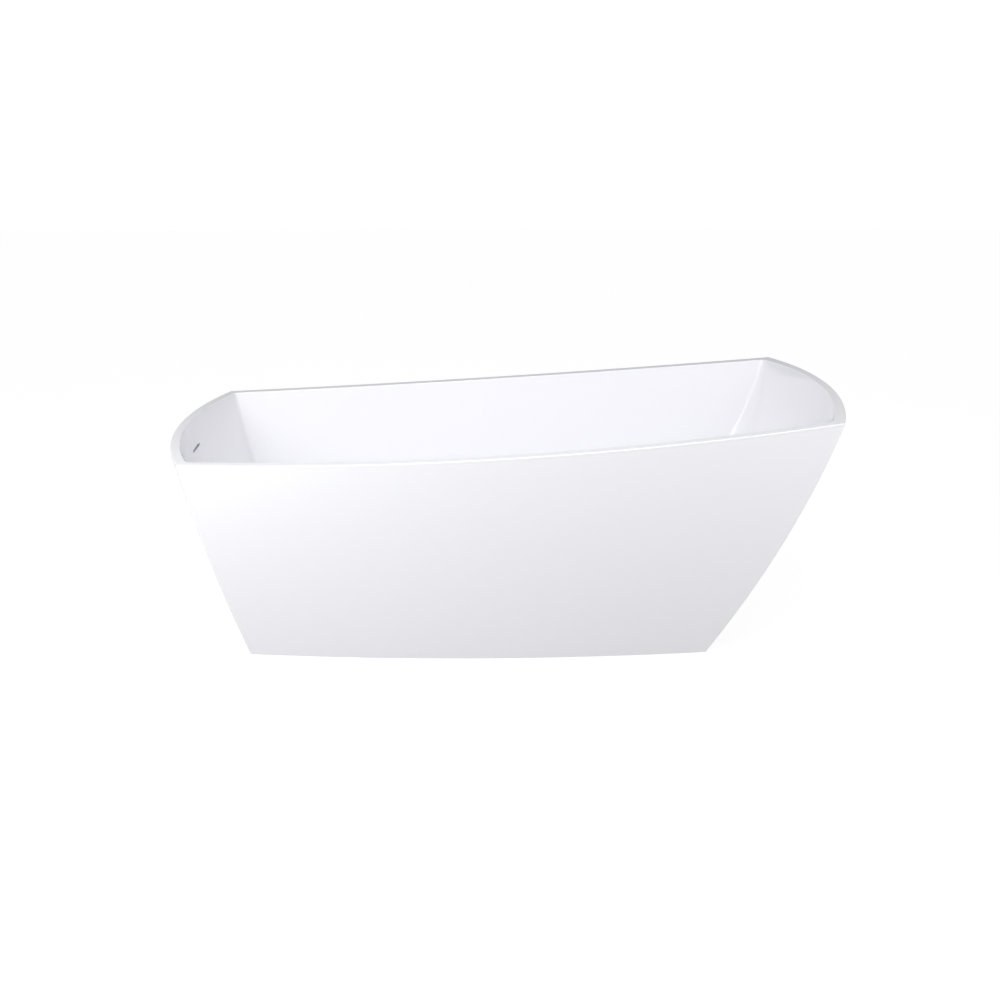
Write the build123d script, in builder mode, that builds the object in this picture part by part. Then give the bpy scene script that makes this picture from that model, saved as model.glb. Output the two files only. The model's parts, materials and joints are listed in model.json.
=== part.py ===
from build123d import *
import os
from math import cos, pi, radians, sin, sqrt, tan

os.makedirs("parts", exist_ok=True)

# A double-walled acrylic slipper bathtub that stands on the floor. Millimetres.
# X runs along the tub from the low foot end (-X) to the raised head end (+X), Y across it, Z up from
# the floor. The origin is on the floor, in the middle of the tub's outer length and width.

# ---------------------------------------------------------------- outer form
foot_rim_x = 780.0            # upright corner edge at the rim, foot end, from the middle
head_rim_x = 786.5            # the same at the head end
foot_base_x = 657.5           # corner edge at the floor, foot end
head_base_x = 527.5           # corner edge at the floor, head end
rim_half_width = 345.8        # half the width between corner edges at the rim
base_half_width = 240.0       # half the width between corner edges at the floor
foot_rim_height = 553.0       # rim height at the foot corners
head_rim_height = 651.0       # rim height at the head corners
rim_dip = 19.0                # how far the rim sags below a straight line between those corners
side_bow_rim = 51.4           # outward bow of the long sides at the rim
side_bow_base = 29.4          # and at the floor
foot_bow_rim = 71.3           # outward bow of the foot end at the rim
foot_bow_base = 33.0
head_bow_rim = 62.6           # outward bow of the head end at the rim
head_bow_base = 30.6
foot_edge_bulge = 10.5        # how far the corner edges swell out of a straight line, foot end
head_edge_bulge = 28.0        # and head end

# ---------------------------------------------------------------- shells
skirt_wall = 4.0
basin_wall = 5.0
rim_thickness = 6.0           # flange of the basin along the rim
rim_edge_radius = 4.0         # outer top edge of the rim
blank_allowance = 30.0        # the walls are lofted this far above the head corners, then trimmed to the rim
blank_below = 20.0            # and trimmed from this far below the ground
bond_gap = 0.3                # adhesive line between bonded shells
skirt_flange = 4.0            # returned edge of the skirt under the rim
skirt_lip = 18.0              # returned edge of the skirt along the floor, its width
skirt_lip_thickness = 4.0

# ---------------------------------------------------------------- inside of the basin
rim_width_side = 25.5         # level top of the rim, from the skirt to the inside
rim_width_foot = 17.8         # at the corners, where the end arcs start
rim_width_head = 20.7
floor_height = 140.0          # inside floor at the drain
floor_thickness = 8.0         # at the drain
floor_fall = 0.7              # degrees, floor falls towards the drain
floor_round = 80.0            # rounding between floor and walls
foot_lean = 0.18              # slope of the end walls at the rim, run over drop, foot
head_lean = 0.21              # and head
floor_foot_inset = 37.64      # corners of the inside floor from the skirt's corners on the ground, foot
floor_head_inset = 84.01      # and head
floor_foot_side = 22.95       # the same across the tub, foot
floor_head_side = 32.12       # and head
inner_side_bow_rim = 50.8
inner_side_bow_floor = 30.0
inner_foot_bow_rim = 65.5
inner_foot_bow_floor = 42.0
inner_head_bow_rim = 64.0
inner_head_bow_floor = 56.0
foot_corner_radius_rim = 13.0
foot_corner_radius_floor = 95.0
head_corner_radius_rim = 12.0
head_end_flat = 17.88         # floor's head end, from the middle to where its corners' roundings start

# ---------------------------------------------------------------- overflow
slot_length = 80.0
slot_height = 7.0
slot_below_rim = 66.0
slot_reach = 30.0             # how far the slot's cutter reaches into the basin
duct_width = 104.0
duct_wall = 1.8
duct_rounding = 0.48          # corner radius of the duct, share of its smaller side
duct_above_slot = 17.0
duct_drop = 215.0             # from the slot to the duct's round outlet
duct_back_gap = 1.5           # between duct and skirt
gasket_gap = 2.0              # between duct and basin, filled by the gasket
gasket_border = 10.0
gasket_clear = 0.5            # the gasket's opening is this much wider than the slot, all round
seat_gap = 0.3                # between a soft or curved piece and its seat
overflow_pipe_radius = 12.5
overflow_pipe_wall = 2.0
overflow_socket = 16.0        # how far the pipe enters the duct and the tee
overflow_bend = 45.0

# ---------------------------------------------------------------- drain
drain_from_foot = 104.86      # drain axis from the foot corners of the inside floor
drain_hole_radius = 24.5
drain_thread_radius = 23.5
drain_flange_radius = 35.0
drain_flange_thickness = 3.0
drain_throat_radius = 19.0
drain_bevel = 5.0             # conical seat round the throat
drain_body_length = 42.0
recess_clear = 0.5            # round the flange in its recess
hub_radius = 8.0
hub_height = 8.0
cross_below = 14.0            # from the flange face down to the cross
cross_seat = 0.8              # depth of the groove that holds its arms
spoke_width = 3.0
spoke_count = 4
nut_chamfer = 0.08            # lower edges of a nut, share of its height
gasket_radius = 38.0
gasket_thickness = 4.0
washer_thickness = 1.2
drain_nut_thickness = 9.0
drain_nut_flats = 62.0
running_gap = 0.05            # radial clearance of a running fit
stopper_radius = 29.0
stopper_thickness = 6.0
stopper_dome = 1.5            # rise of the cap's top face
stopper_boss = 3.0            # boss inside the seal, below the seal's centre
stopper_travel = 9.0
stopper_post_radius = 4.75
stopper_post_chamfer = 1.0
stopper_seal_radius = 2.0
tee_hub_radius = 28.0
tee_rounding = 2.0            # top edge of the tee
tee_bore_radius = 20.5
tee_socket = 20.0             # overlap of the tee and the drain body
tee_height = 70.0
tee_branch_radius = 17.0
tee_branch_reach = 62.0       # from the drain axis to the end of the branch
tee_branch_drop = 31.0        # branch axis below the tee's top
slip_thread = 18.0            # threaded end of the tee under a slip nut
slip_nut_wall = 4.5
slip_nut_height = 18.0
slip_nut_rim = 3.0
slip_washer = 3.0
tailpiece_radius = 19.05      # 1 1/2 in tubular drain
tailpiece_wall = 1.5
tailpiece_bottom = 12.0       # above the floor
tailpiece_insert = 14.0       # inside the tee
tailpiece_step = 0.25         # the end inside the nut and tee is this much slimmer

# ---------------------------------------------------------------- frame and feet
board_thickness = 15.0
board_inset = 6.0             # from the edge of the basin's flat underside
board_hole_radius = 52.0
tube_size = 25.0
tube_wall = 2.0
tube_corner = 3.0
rail_side_inset = 87.05       # rails from the foot corners of the inside floor, across the tub
rail_inset = 20.0             # rail ends inside the flat part of the basin's floor
foot_bar_inset = 105.76       # outer cross bars from the ends of the rails, foot
head_bar_inset = 41.553       # and head
cap_thickness = 2.0
cap_plug = 12.0
cap_plug_corner = 0.5         # inside corners of the plug
bar_end_gap = 5.0             # between a bar's end cap and its bracket
foot_inset = 45.0             # outer feet from the ends of their bars
insert_radius = 7.5
insert_rim_radius = 10.0
insert_rim = 1.5
stud_radius = 5.0
stud_above_bar = 8.0
stud_pitch = 1.5
nut_flats = 17.0
nut_thickness = 6.0
pad_radius = 20.0
pad_height = 12.0
pad_edge = 5.0
pad_chamfer = 1.0
pad_top_radius = 12.0
socket_radius = 6.0
socket_depth = 8.0
hex_height = 7.0
screw_radius = 2.4
screw_head_radius = 4.75
screw_head = 3.2
screw_head_chamfer = 1.07
screw_grip = 10.0             # length of a screw inside the timber
bar_screw_grip = 6.0          # length of a self-tapping screw inside a bar
board_screw_offset = 60.0     # board screws from the cross bars
block_length = 70.0           # timber blocks bonded to the skirt
block_height = 62.0
block_thickness = 18.0
bracket_thickness = 2.5
bracket_width = 40.0
bracket_leg = 38.0
bracket_screw_pitch = 20.0
bracket_screw_edge = 10.0     # screw from the edge of the bracket's lower leg

# ---------------------------------------------------------------- levels that follow from the above
rim_length = foot_rim_x + head_rim_x
foot_depth = foot_rim_height - floor_height
head_depth = head_rim_height - floor_height
inner_half_width = rim_half_width - rim_width_side
floor_foot_x = floor_foot_inset - foot_base_x
floor_head_x = head_base_x - floor_head_inset
floor_foot_half = base_half_width - floor_foot_side
floor_head_half = base_half_width - floor_head_side
foot_sweep = floor_foot_x + foot_rim_x - rim_width_foot - foot_lean * foot_depth
head_sweep = head_rim_x - rim_width_head - head_lean * head_depth - floor_head_x
foot_side_lean = (inner_half_width - floor_foot_half) / foot_depth
head_side_lean = (inner_half_width - floor_head_half) / head_depth
head_corner_radius_floor = floor_head_half - head_end_flat
drain_x = floor_foot_x + drain_from_foot
top_level = head_rim_height + blank_allowance
slope = tan(radians(floor_fall))
board_top = floor_height - floor_thickness
rail_top = board_top - board_thickness
bar_top = rail_top - tube_size
bar_bottom = bar_top - tube_size


def rim_height(x):
    """Height of the rim's top face, a long shallow arc that rises to the head end."""
    along = (x + foot_rim_x) / rim_length
    rise = head_rim_height - foot_rim_height
    return foot_rim_height + rise * along - 4 * rim_dip * along * (1 - along)


def between(low, high, share):
    """Value at a share of the way from low to high."""
    return low + (high - low) * share


def corner_x(base, rim, rim_level, bulge, height):
    """Distance of an upright corner edge from the middle, at a height."""
    share = height / rim_level
    return between(base, rim, share) + 4 * bulge * share * (1 - share)


def skirt_foot(height):
    """Foot corner of the skirt: x and half width."""
    x = corner_x(foot_base_x, foot_rim_x, foot_rim_height, foot_edge_bulge, height)
    return -x, between(base_half_width, rim_half_width, height / foot_rim_height)


def skirt_head(height):
    """Head corner of the skirt: x and half width."""
    x = corner_x(head_base_x, head_rim_x, head_rim_height, head_edge_bulge, height)
    return x, between(base_half_width, rim_half_width, height / head_rim_height)


def skirt_bows(height):
    """Outward bows of foot, head and sides at a height."""
    return (
        between(foot_bow_base, foot_bow_rim, height / foot_rim_height),
        between(head_bow_base, head_bow_rim, height / head_rim_height),
        between(side_bow_base, side_bow_rim, height / rim_height(0)),
    )


def basin_foot(height):
    """Foot corner of the basin's inside: x and half width."""
    drop = foot_rim_height - height
    share = drop / foot_depth
    x = -foot_rim_x + rim_width_foot + foot_lean * drop + foot_sweep * share * abs(share)
    return x, inner_half_width - foot_side_lean * drop


def basin_head(height):
    """Head corner of the basin's inside: x and half width."""
    drop = head_rim_height - height
    x = head_rim_x - rim_width_head - head_lean * drop - head_sweep * (drop / head_depth) ** 3
    return x, inner_half_width - head_side_lean * drop


def basin_bows(height):
    """Outward bows of foot, head and sides of the basin's inside at a height."""
    above = height - floor_height
    return (
        between(inner_foot_bow_floor, inner_foot_bow_rim, above / foot_depth),
        between(inner_head_bow_floor, inner_head_bow_rim, above / head_depth),
        between(inner_side_bow_floor, inner_side_bow_rim, above / (rim_height(0) - floor_height)),
    )


def outline(plane, foot, head, bows, foot_radius=0.0, head_radius=0.0):
    """A four-sided outline with bowed sides. foot and head are the corners' x and half width."""
    foot_x, foot_half = foot
    head_x, head_half = head
    foot_bow, head_bow, side_bow = bows
    middle = ((foot_x + head_x) / 2, (foot_half + head_half) / 2 + side_bow)
    with BuildSketch(plane) as section:
        with BuildLine():
            ThreePointArc((foot_x, -foot_half), (middle[0], -middle[1]), (head_x, -head_half))
            ThreePointArc((head_x, -head_half), (head_x + head_bow, 0), (head_x, head_half))
            ThreePointArc((head_x, head_half), middle, (foot_x, foot_half))
            ThreePointArc((foot_x, foot_half), (foot_x - foot_bow, 0), (foot_x, -foot_half))
        make_face()
        if foot_radius > 0:
            fillet(section.vertices().group_by(Axis.X)[0], foot_radius)
            fillet(section.vertices().group_by(Axis.X)[-1], head_radius)
    return section.sketch


def skirt_section(height, inset=0.0):
    """Level outline of the skirt, drawn in by an inset."""
    foot_x, foot_half = skirt_foot(height)
    head_x, head_half = skirt_head(height)
    foot = (foot_x + inset, foot_half - inset)
    head = (head_x - inset, head_half - inset)
    return outline(Plane.XY.offset(height), foot, head, skirt_bows(height))


def floor_inset(above, radius):
    """How far a quarter-round of a radius lies inside the wall, at a height above the floor."""
    if above >= radius:
        return 0.0
    return radius - sqrt(radius ** 2 - (radius - above) ** 2)


def basin_section(above, wall=0.0, tilt=0.0, inset=0.0):
    """Basin outline on a plane above the floor at the drain, grown outwards by a wall."""
    height = floor_height - (floor_thickness if wall > 0 else 0.0) + above
    fall = tan(radians(tilt))
    foot_level = height + fall * (basin_foot(height)[0] - drain_x)
    head_level = height + fall * (basin_head(height)[0] - drain_x)
    foot_x, foot_half = basin_foot(foot_level)
    head_x, head_half = basin_head(head_level)
    inset += floor_inset(above, floor_round)
    grow = wall - inset
    foot_share = min(1.0, max(0.0, (foot_rim_height - height) / foot_depth))
    head_share = min(1.0, max(0.0, (head_rim_height - height) / head_depth))
    foot_radius = between(foot_corner_radius_rim, foot_corner_radius_floor, foot_share ** 3) - inset
    head_radius = between(head_corner_radius_rim, head_corner_radius_floor, sin(head_share * pi / 2)) - inset
    plane = Plane(
        origin=(drain_x, 0, height),
        x_dir=(cos(radians(tilt)), 0, sin(radians(tilt))),
        z_dir=(-sin(radians(tilt)), 0, cos(radians(tilt))),
    )
    foot = ((foot_x - drain_x) / cos(radians(tilt)) - grow, foot_half + grow)
    head = ((head_x - drain_x) / cos(radians(tilt)) + grow, head_half + grow)
    return outline(plane, foot, head, basin_bows(height), foot_radius + wall, head_radius + wall)


round_levels = [floor_round * (1 - cos(radians(angle))) for angle in (0, 25, 45, 65, 90)]
basin_reach = top_level - floor_height
wall_levels = [between(floor_round, basin_reach, step / 6) for step in range(1, 7)]
skirt_levels = [top_level * step / 4 for step in range(5)]


def skirt_block(inset):
    """Everything inside the skirt's outer face, drawn in by an inset."""
    with BuildPart() as block:
        loft(sections=[skirt_section(level, inset) for level in skirt_levels])
    return block.part


def basin_block(wall, tilt):
    """Everything inside the basin's wetted face, grown outwards by a wall."""
    with BuildPart() as block:
        loft(sections=[basin_section(level, wall, tilt) for level in round_levels + wall_levels])
    return block.part


def under_rim(drop):
    """Everything under the rim's swept top face, lowered by drop."""
    reach = rim_length
    with BuildPart() as block:
        with BuildSketch(Plane.XZ):
            with BuildLine():
                ThreePointArc(
                    (-reach, rim_height(-reach) - drop),
                    (0, rim_height(0) - drop),
                    (reach, rim_height(reach) - drop),
                )
                Polyline(
                    (reach, rim_height(reach) - drop),
                    (reach, -blank_below),
                    (-reach, -blank_below),
                    (-reach, rim_height(-reach) - drop),
                )
            make_face()
        extrude(amount=reach / 2, both=True)
    return block.part


def finish(part, name):
    """Label a finished piece and write its STEP file."""
    part.label = name
    export_step(part, f"parts/{name}.step")


def nut_solid(flats, bore, bottom, height, places):
    """Hexagon nuts with a vertical axis at the given places."""
    with BuildPart() as nuts:
        with BuildSketch(Plane.XY.offset(bottom)):
            with Locations(*places):
                RegularPolygon(flats / 2, 6, major_radius=False)
                Circle(bore, mode=Mode.SUBTRACT)
        extrude(amount=height)
        chamfer(nuts.faces().group_by(Axis.Z)[0].edges().filter_by(GeomType.LINE), nut_chamfer * height)
    return nuts.part


# ================================================================ shells
skirt_outside = skirt_block(0.0)
skirt_inside = skirt_block(skirt_wall)
basin_inside = basin_block(0.0, floor_fall)
basin_outside = basin_block(basin_wall, 0.0)
basin_cleared = basin_block(basin_wall + seat_gap, 0.0)
rim_top = under_rim(0.0)
rim_under = under_rim(rim_thickness)
skirt_top = under_rim(rim_thickness + bond_gap)
skirt_flange_under = under_rim(rim_thickness + bond_gap + skirt_flange)

slot_z = rim_height(-foot_rim_x) - slot_below_rim


def basin_back_x(height):
    """Back of the basin's foot wall on the centre line."""
    return basin_foot(height)[0] - basin_bows(height)[0] - basin_wall


def cavity(height):
    """Clear width between basin and skirt behind the foot wall, on the centre line."""
    foot_x = skirt_foot(height)[0] - skirt_bows(height)[0] + skirt_wall
    return basin_back_x(height) - foot_x


with BuildPart() as slot_cut:
    with BuildSketch(Plane.YZ.offset(basin_back_x(slot_z) - gasket_gap - 2 * duct_wall)):
        with Locations((0, slot_z)):
            SlotOverall(slot_length, slot_height)
    extrude(amount=2 * duct_wall + gasket_gap + basin_wall + slot_reach)

# The basin: rim flange, walls and floor in one skin, with slot and drain hole.
with BuildPart() as inner_basin:
    add(skirt_outside)
    add(rim_top, mode=Mode.INTERSECT)
    add(rim_under, mode=Mode.SUBTRACT)
    add(basin_outside & rim_top)
    add(basin_inside, mode=Mode.SUBTRACT)
    add(slot_cut.part, mode=Mode.SUBTRACT)
    with Locations((drain_x, 0, floor_height - drain_flange_thickness)):
        Cylinder(
            drain_flange_radius + recess_clear,
            2 * drain_flange_thickness,
            align=(Align.CENTER, Align.CENTER, Align.MIN),
            mode=Mode.SUBTRACT,
        )
    with Locations((drain_x, 0, board_top - floor_thickness)):
        Cylinder(
            drain_hole_radius,
            3 * floor_thickness,
            align=(Align.CENTER, Align.CENTER, Align.MIN),
            mode=Mode.SUBTRACT,
        )
    rim_face = inner_basin.faces().filter_by(GeomType.CYLINDER).sort_by(SortBy.AREA)[-1]
    fillet(rim_face.outer_wire().edges(), rim_edge_radius)
finish(inner_basin.part, "inner_basin")

# The skirt: a skin open underneath, with returned edges at the rim and along the floor.
with BuildPart() as skirt_hollow:
    add(skirt_inside)
    add(skirt_flange_under, mode=Mode.INTERSECT)
    with BuildSketch(Plane.XY):
        Rectangle(2 * rim_length, 2 * rim_length)
    extrude(amount=skirt_lip_thickness, mode=Mode.SUBTRACT)

with BuildPart() as outer_skirt:
    add(skirt_outside)
    add(skirt_top, mode=Mode.INTERSECT)
    add(skirt_hollow.part, mode=Mode.SUBTRACT)
    add(basin_cleared, mode=Mode.SUBTRACT)
    with BuildSketch(Plane.XY):
        add(skirt_section(0.0, skirt_lip))
    extrude(amount=skirt_lip_thickness, mode=Mode.SUBTRACT)
finish(outer_skirt.part, "outer_skirt")


# ================================================================ overflow
duct_top = slot_z + duct_above_slot
duct_bottom = slot_z - duct_drop
duct_levels = [between(duct_bottom, duct_top, share) for share in (0.0, 0.3, 0.6, 0.85, 1.0)]
duct_outlet_radius = overflow_pipe_radius + overflow_pipe_wall + running_gap
pipe_level = floor_height - drain_flange_thickness - drain_body_length + tee_socket - tee_branch_drop
pipe_top_x = basin_back_x(duct_bottom) - gasket_gap - duct_outlet_radius
pipe_turn_level = duct_bottom - overflow_socket - overflow_pipe_radius / 2
pipe_low_x = skirt_foot(pipe_level)[0] - skirt_bows(pipe_level)[0] + skirt_wall + 2 * overflow_pipe_radius
branch_end_x = drain_x - tee_branch_reach


def duct_section(height, inset):
    """Rounded section of the overflow duct, flat behind the slot and round at its outlet."""
    share = (height - duct_bottom) / (duct_top - duct_bottom)
    deep = cavity(height) - gasket_gap - duct_back_gap
    depth = min(deep, between(2 * duct_outlet_radius, deep, share)) - 2 * inset
    width = between(2 * duct_outlet_radius, duct_width, share) - 2 * inset
    middle = basin_back_x(height) - gasket_gap - inset - depth / 2
    with BuildSketch(Plane.XY.offset(height)) as section:
        with Locations((middle, 0)):
            RectangleRounded(depth, width, duct_rounding * min(depth, width))
    return section.sketch


with BuildPart() as duct_outside:
    loft(sections=[duct_section(level, 0.0) for level in duct_levels])

with BuildPart() as duct_cleared:
    loft(sections=[duct_section(level, -seat_gap) for level in duct_levels])

with BuildPart() as overflow_duct:
    add(duct_outside.part)
    loft(sections=[duct_section(level, duct_wall) for level in duct_levels], mode=Mode.SUBTRACT)
    with BuildSketch(Plane.XY.offset(duct_top)):
        add(duct_section(duct_top, 0.0))
    extrude(amount=duct_wall)
    add(slot_cut.part, mode=Mode.SUBTRACT)
    with Locations((pipe_top_x, 0, duct_bottom)):
        Cylinder(duct_outlet_radius, overflow_socket, align=(Align.CENTER, Align.CENTER, Align.MAX))
        Cylinder(
            overflow_pipe_radius + running_gap,
            overflow_socket,
            align=(Align.CENTER, Align.CENTER, Align.MAX),
            mode=Mode.SUBTRACT,
        )
finish(overflow_duct.part, "overflow_duct")

# Soft gasket that fills the gap between basin and duct round the slot.
with BuildPart() as overflow_gasket:
    with BuildSketch(Plane.YZ.offset(basin_back_x(slot_z) - gasket_gap - duct_wall)):
        with Locations((0, slot_z)):
            SlotOverall(slot_length + 2 * gasket_border, slot_height + 2 * gasket_border)
            SlotOverall(slot_length + 2 * gasket_clear, slot_height + 2 * gasket_clear, mode=Mode.SUBTRACT)
    extrude(amount=gasket_gap + 2 * duct_wall)
    add(basin_cleared, mode=Mode.SUBTRACT)
    add(duct_cleared.part, mode=Mode.SUBTRACT)
finish(overflow_gasket.part, "overflow_gasket")

# Pipe from the duct down between the shells and along to the tee.
with BuildPart() as overflow_pipe:
    with BuildLine(Plane.XZ) as pipe_path:
        FilletPolyline(
            (pipe_top_x, duct_bottom - seat_gap),
            (pipe_top_x, pipe_turn_level),
            (pipe_low_x, pipe_level),
            (branch_end_x + overflow_socket, pipe_level),
            radius=(overflow_bend, overflow_bend),
        )
    with BuildSketch(Plane(origin=pipe_path.line @ 0, z_dir=pipe_path.line % 0)):
        Circle(overflow_pipe_radius)
        Circle(overflow_pipe_radius - overflow_pipe_wall, mode=Mode.SUBTRACT)
    sweep()
finish(overflow_pipe.part, "overflow_pipe")


# ================================================================ drain
flange_bottom = floor_height - drain_flange_thickness
body_bottom = flange_bottom - drain_body_length
tee_top = body_bottom + tee_socket
tee_bottom = tee_top - tee_height
tailpiece_bore = tailpiece_radius - tailpiece_wall
tailpiece_neck = tailpiece_radius - tailpiece_step
drain_axis = Plane(origin=(drain_x, 0, 0), x_dir=(1, 0, 0), z_dir=(0, -1, 0))


def circles_of(piece, radius):
    """Level circular edges of a radius, from the lowest up."""
    circles = piece.edges().filter_by(GeomType.CIRCLE).filter_by(
        lambda edge: abs(edge.radius - radius) < running_gap and edge.is_closed
    )
    return circles.sort_by(Axis.Z)


def drain_ring(outer, inner, bottom, height):
    """Ring round the drain's axis."""
    with BuildPart() as ring:
        with BuildSketch(Plane.XY.offset(bottom)):
            with Locations((drain_x, 0)):
                Circle(outer)
                Circle(inner, mode=Mode.SUBTRACT)
        extrude(amount=height)
    return ring.part


# Flange and threaded body. A ledge in the throat carries the cross that guides the stopper.
cross_top = floor_height - cross_below
with BuildPart() as drain_flange:
    with BuildSketch(drain_axis):
        with BuildLine():
            Polyline(
                (drain_throat_radius, body_bottom),
                (drain_thread_radius, body_bottom),
                (drain_thread_radius, flange_bottom),
                (drain_flange_radius, flange_bottom),
                (drain_flange_radius, floor_height),
                (drain_throat_radius + drain_bevel, floor_height),
                (drain_throat_radius, floor_height - drain_bevel),
                (drain_throat_radius, cross_top),
                (drain_throat_radius + cross_seat, cross_top),
                (drain_throat_radius + cross_seat, cross_top - hub_height),
                (drain_throat_radius, cross_top - hub_height),
                close=True,
            )
        make_face()
    revolve(axis=Axis((drain_x, 0, 0), (0, 0, 1)))
    fillet(circles_of(drain_flange, drain_flange_radius)[-1], drain_flange_thickness / 2)
finish(drain_flange.part, "drain_flange")

# Four-armed cross sprung into the groove of the throat, with the bore that the stopper's post runs in.
with BuildPart() as drain_cross:
    with BuildSketch(Plane.XY.offset(cross_top - running_gap)):
        with Locations((drain_x, 0)):
            Circle(hub_radius)
            with PolarLocations(0, spoke_count, start_angle=45):
                Rectangle(
                    drain_throat_radius + cross_seat - running_gap,
                    spoke_width,
                    align=(Align.MIN, Align.CENTER),
                )
            Circle(drain_throat_radius + cross_seat - running_gap, mode=Mode.INTERSECT)
            Circle(stopper_post_radius + running_gap, mode=Mode.SUBTRACT)
    extrude(amount=2 * running_gap - hub_height)
finish(drain_cross.part, "drain_cross")

# Gasket, slip washer and lock nut that clamp the basin's floor to the flange.
drain_thread_bore = drain_thread_radius + running_gap
washer_top = board_top - gasket_thickness
drain_nut_top = washer_top - washer_thickness
drain_nut_bottom = drain_nut_top - drain_nut_thickness
drain_gasket = drain_ring(gasket_radius, drain_thread_bore, washer_top, gasket_thickness)
drain_slip_washer = drain_ring(drain_nut_flats / 2, drain_thread_bore, drain_nut_top, washer_thickness)
drain_lock_nut = nut_solid(
    drain_nut_flats, drain_thread_bore, drain_nut_bottom, drain_nut_thickness, [(drain_x, 0)]
)
finish(drain_gasket, "drain_gasket")
finish(drain_slip_washer, "drain_slip_washer")
finish(drain_lock_nut, "drain_lock_nut")

# Stopper: the seal rests on the conical seat, the cap above it, the post in the cross.
seal_ring_radius = drain_throat_radius + drain_bevel / 2
seal_level = floor_height - drain_bevel / 2 + sqrt(2) * (stopper_seal_radius + seat_gap)
boss_radius = seal_ring_radius - stopper_seal_radius - seat_gap
boss_bottom = seal_level - stopper_boss
cap_bottom = seal_level + stopper_seal_radius + seat_gap
cap_top = cap_bottom + stopper_thickness

with BuildPart() as stopper_cap:
    with BuildSketch(drain_axis):
        with BuildLine():
            Polyline(
                (0, cap_top),
                (0, boss_bottom),
                (boss_radius, boss_bottom),
                (boss_radius, cap_bottom),
                (stopper_radius, cap_bottom),
                (stopper_radius, cap_top - stopper_dome),
            )
            ThreePointArc(
                (stopper_radius, cap_top - stopper_dome),
                (stopper_radius / 2, cap_top - stopper_dome / 4),
                (0, cap_top),
            )
        make_face()
    revolve(axis=Axis((drain_x, 0, 0), (0, 0, 1)))
    fillet(circles_of(stopper_cap, stopper_radius)[-1], stopper_dome)
finish(stopper_cap.part, "stopper_cap")

with BuildPart() as stopper_seal:
    with Locations((drain_x, 0, seal_level)):
        Torus(seal_ring_radius, stopper_seal_radius)
finish(stopper_seal.part, "stopper_seal")

post_bottom = cross_top - hub_height - stopper_travel - stopper_boss
with BuildPart() as stopper_post:
    with BuildSketch(Plane.XY.offset(post_bottom)):
        with Locations((drain_x, 0)):
            Circle(stopper_post_radius)
    extrude(amount=boss_bottom - post_bottom)
    chamfer(stopper_post.edges().filter_by(GeomType.CIRCLE).sort_by(Axis.Z)[0], stopper_post_chamfer)
finish(stopper_post.part, "stopper_post")

# Tee: socket for the drain body, branch for the overflow pipe, outlet for the tailpiece.
with BuildPart() as drain_tee:
    with BuildSketch(drain_axis):
        with BuildLine():
            Polyline(
                (0, tee_top),
                (tee_hub_radius, tee_top),
                (tee_hub_radius, tee_bottom + slip_thread),
                (drain_thread_radius, tee_bottom + slip_thread),
                (drain_thread_radius, tee_bottom),
                (0, tee_bottom),
                close=True,
            )
        make_face()
    revolve(axis=Axis((drain_x, 0, 0), (0, 0, 1)))
    fillet(drain_tee.edges().filter_by(GeomType.CIRCLE).group_by(Axis.Z)[-1], tee_rounding)
    with BuildSketch(Plane(origin=(drain_x, 0, pipe_level), z_dir=(-1, 0, 0))):
        Circle(tee_branch_radius)
    extrude(amount=tee_branch_reach)
    with BuildSketch(drain_axis):
        with BuildLine():
            Polyline(
                (0, tee_top),
                (drain_thread_bore, tee_top),
                (drain_thread_bore, body_bottom),
                (tee_bore_radius, body_bottom),
                (tee_bore_radius, tee_bottom + tailpiece_insert),
                (tailpiece_neck + running_gap, tee_bottom + tailpiece_insert),
                (tailpiece_neck + running_gap, tee_bottom),
                (0, tee_bottom),
                close=True,
            )
        make_face()
    revolve(axis=Axis((drain_x, 0, 0), (0, 0, 1)), mode=Mode.SUBTRACT)
    with BuildSketch(Plane(origin=(drain_x, 0, pipe_level), z_dir=(-1, 0, 0))):
        Circle(overflow_pipe_radius - overflow_pipe_wall)
    extrude(amount=tee_branch_reach, mode=Mode.SUBTRACT)
    with BuildSketch(Plane(origin=(branch_end_x, 0, pipe_level), z_dir=(1, 0, 0))):
        Circle(overflow_pipe_radius + running_gap)
    extrude(amount=overflow_socket + running_gap, mode=Mode.SUBTRACT)
finish(drain_tee.part, "drain_tee")

tailpiece_top = tee_bottom + tailpiece_insert - running_gap
tailpiece_shoulder = tee_bottom - slip_washer - slip_nut_rim
with BuildPart() as drain_tailpiece:
    add(drain_ring(tailpiece_radius, tailpiece_bore, tailpiece_bottom, tailpiece_shoulder - tailpiece_bottom))
    add(drain_ring(tailpiece_neck, tailpiece_bore, tailpiece_shoulder, tailpiece_top - tailpiece_shoulder))
finish(drain_tailpiece.part, "drain_tailpiece")


def slip_nut(plane, thread_radius, pipe_radius):
    """Slip nut that opens along the plane's normal, its closed rim at the plane."""
    with BuildPart() as nut:
        with BuildSketch(plane):
            RegularPolygon(thread_radius + slip_nut_wall, 6, major_radius=False)
            Circle(pipe_radius + running_gap, mode=Mode.SUBTRACT)
        extrude(amount=slip_nut_height)
        with BuildSketch(plane.offset(slip_nut_rim)):
            Circle(thread_radius + running_gap)
        extrude(amount=slip_nut_height, mode=Mode.SUBTRACT)
    return nut.part


def slip_ring(plane, thread_radius, pipe_radius):
    """Tapered washer between a slip nut's rim and the end of its thread."""
    with BuildPart() as ring:
        with BuildSketch(plane.offset(slip_nut_rim)):
            Circle(thread_radius)
            Circle(pipe_radius + running_gap, mode=Mode.SUBTRACT)
        extrude(amount=slip_washer)
    return ring.part


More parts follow.
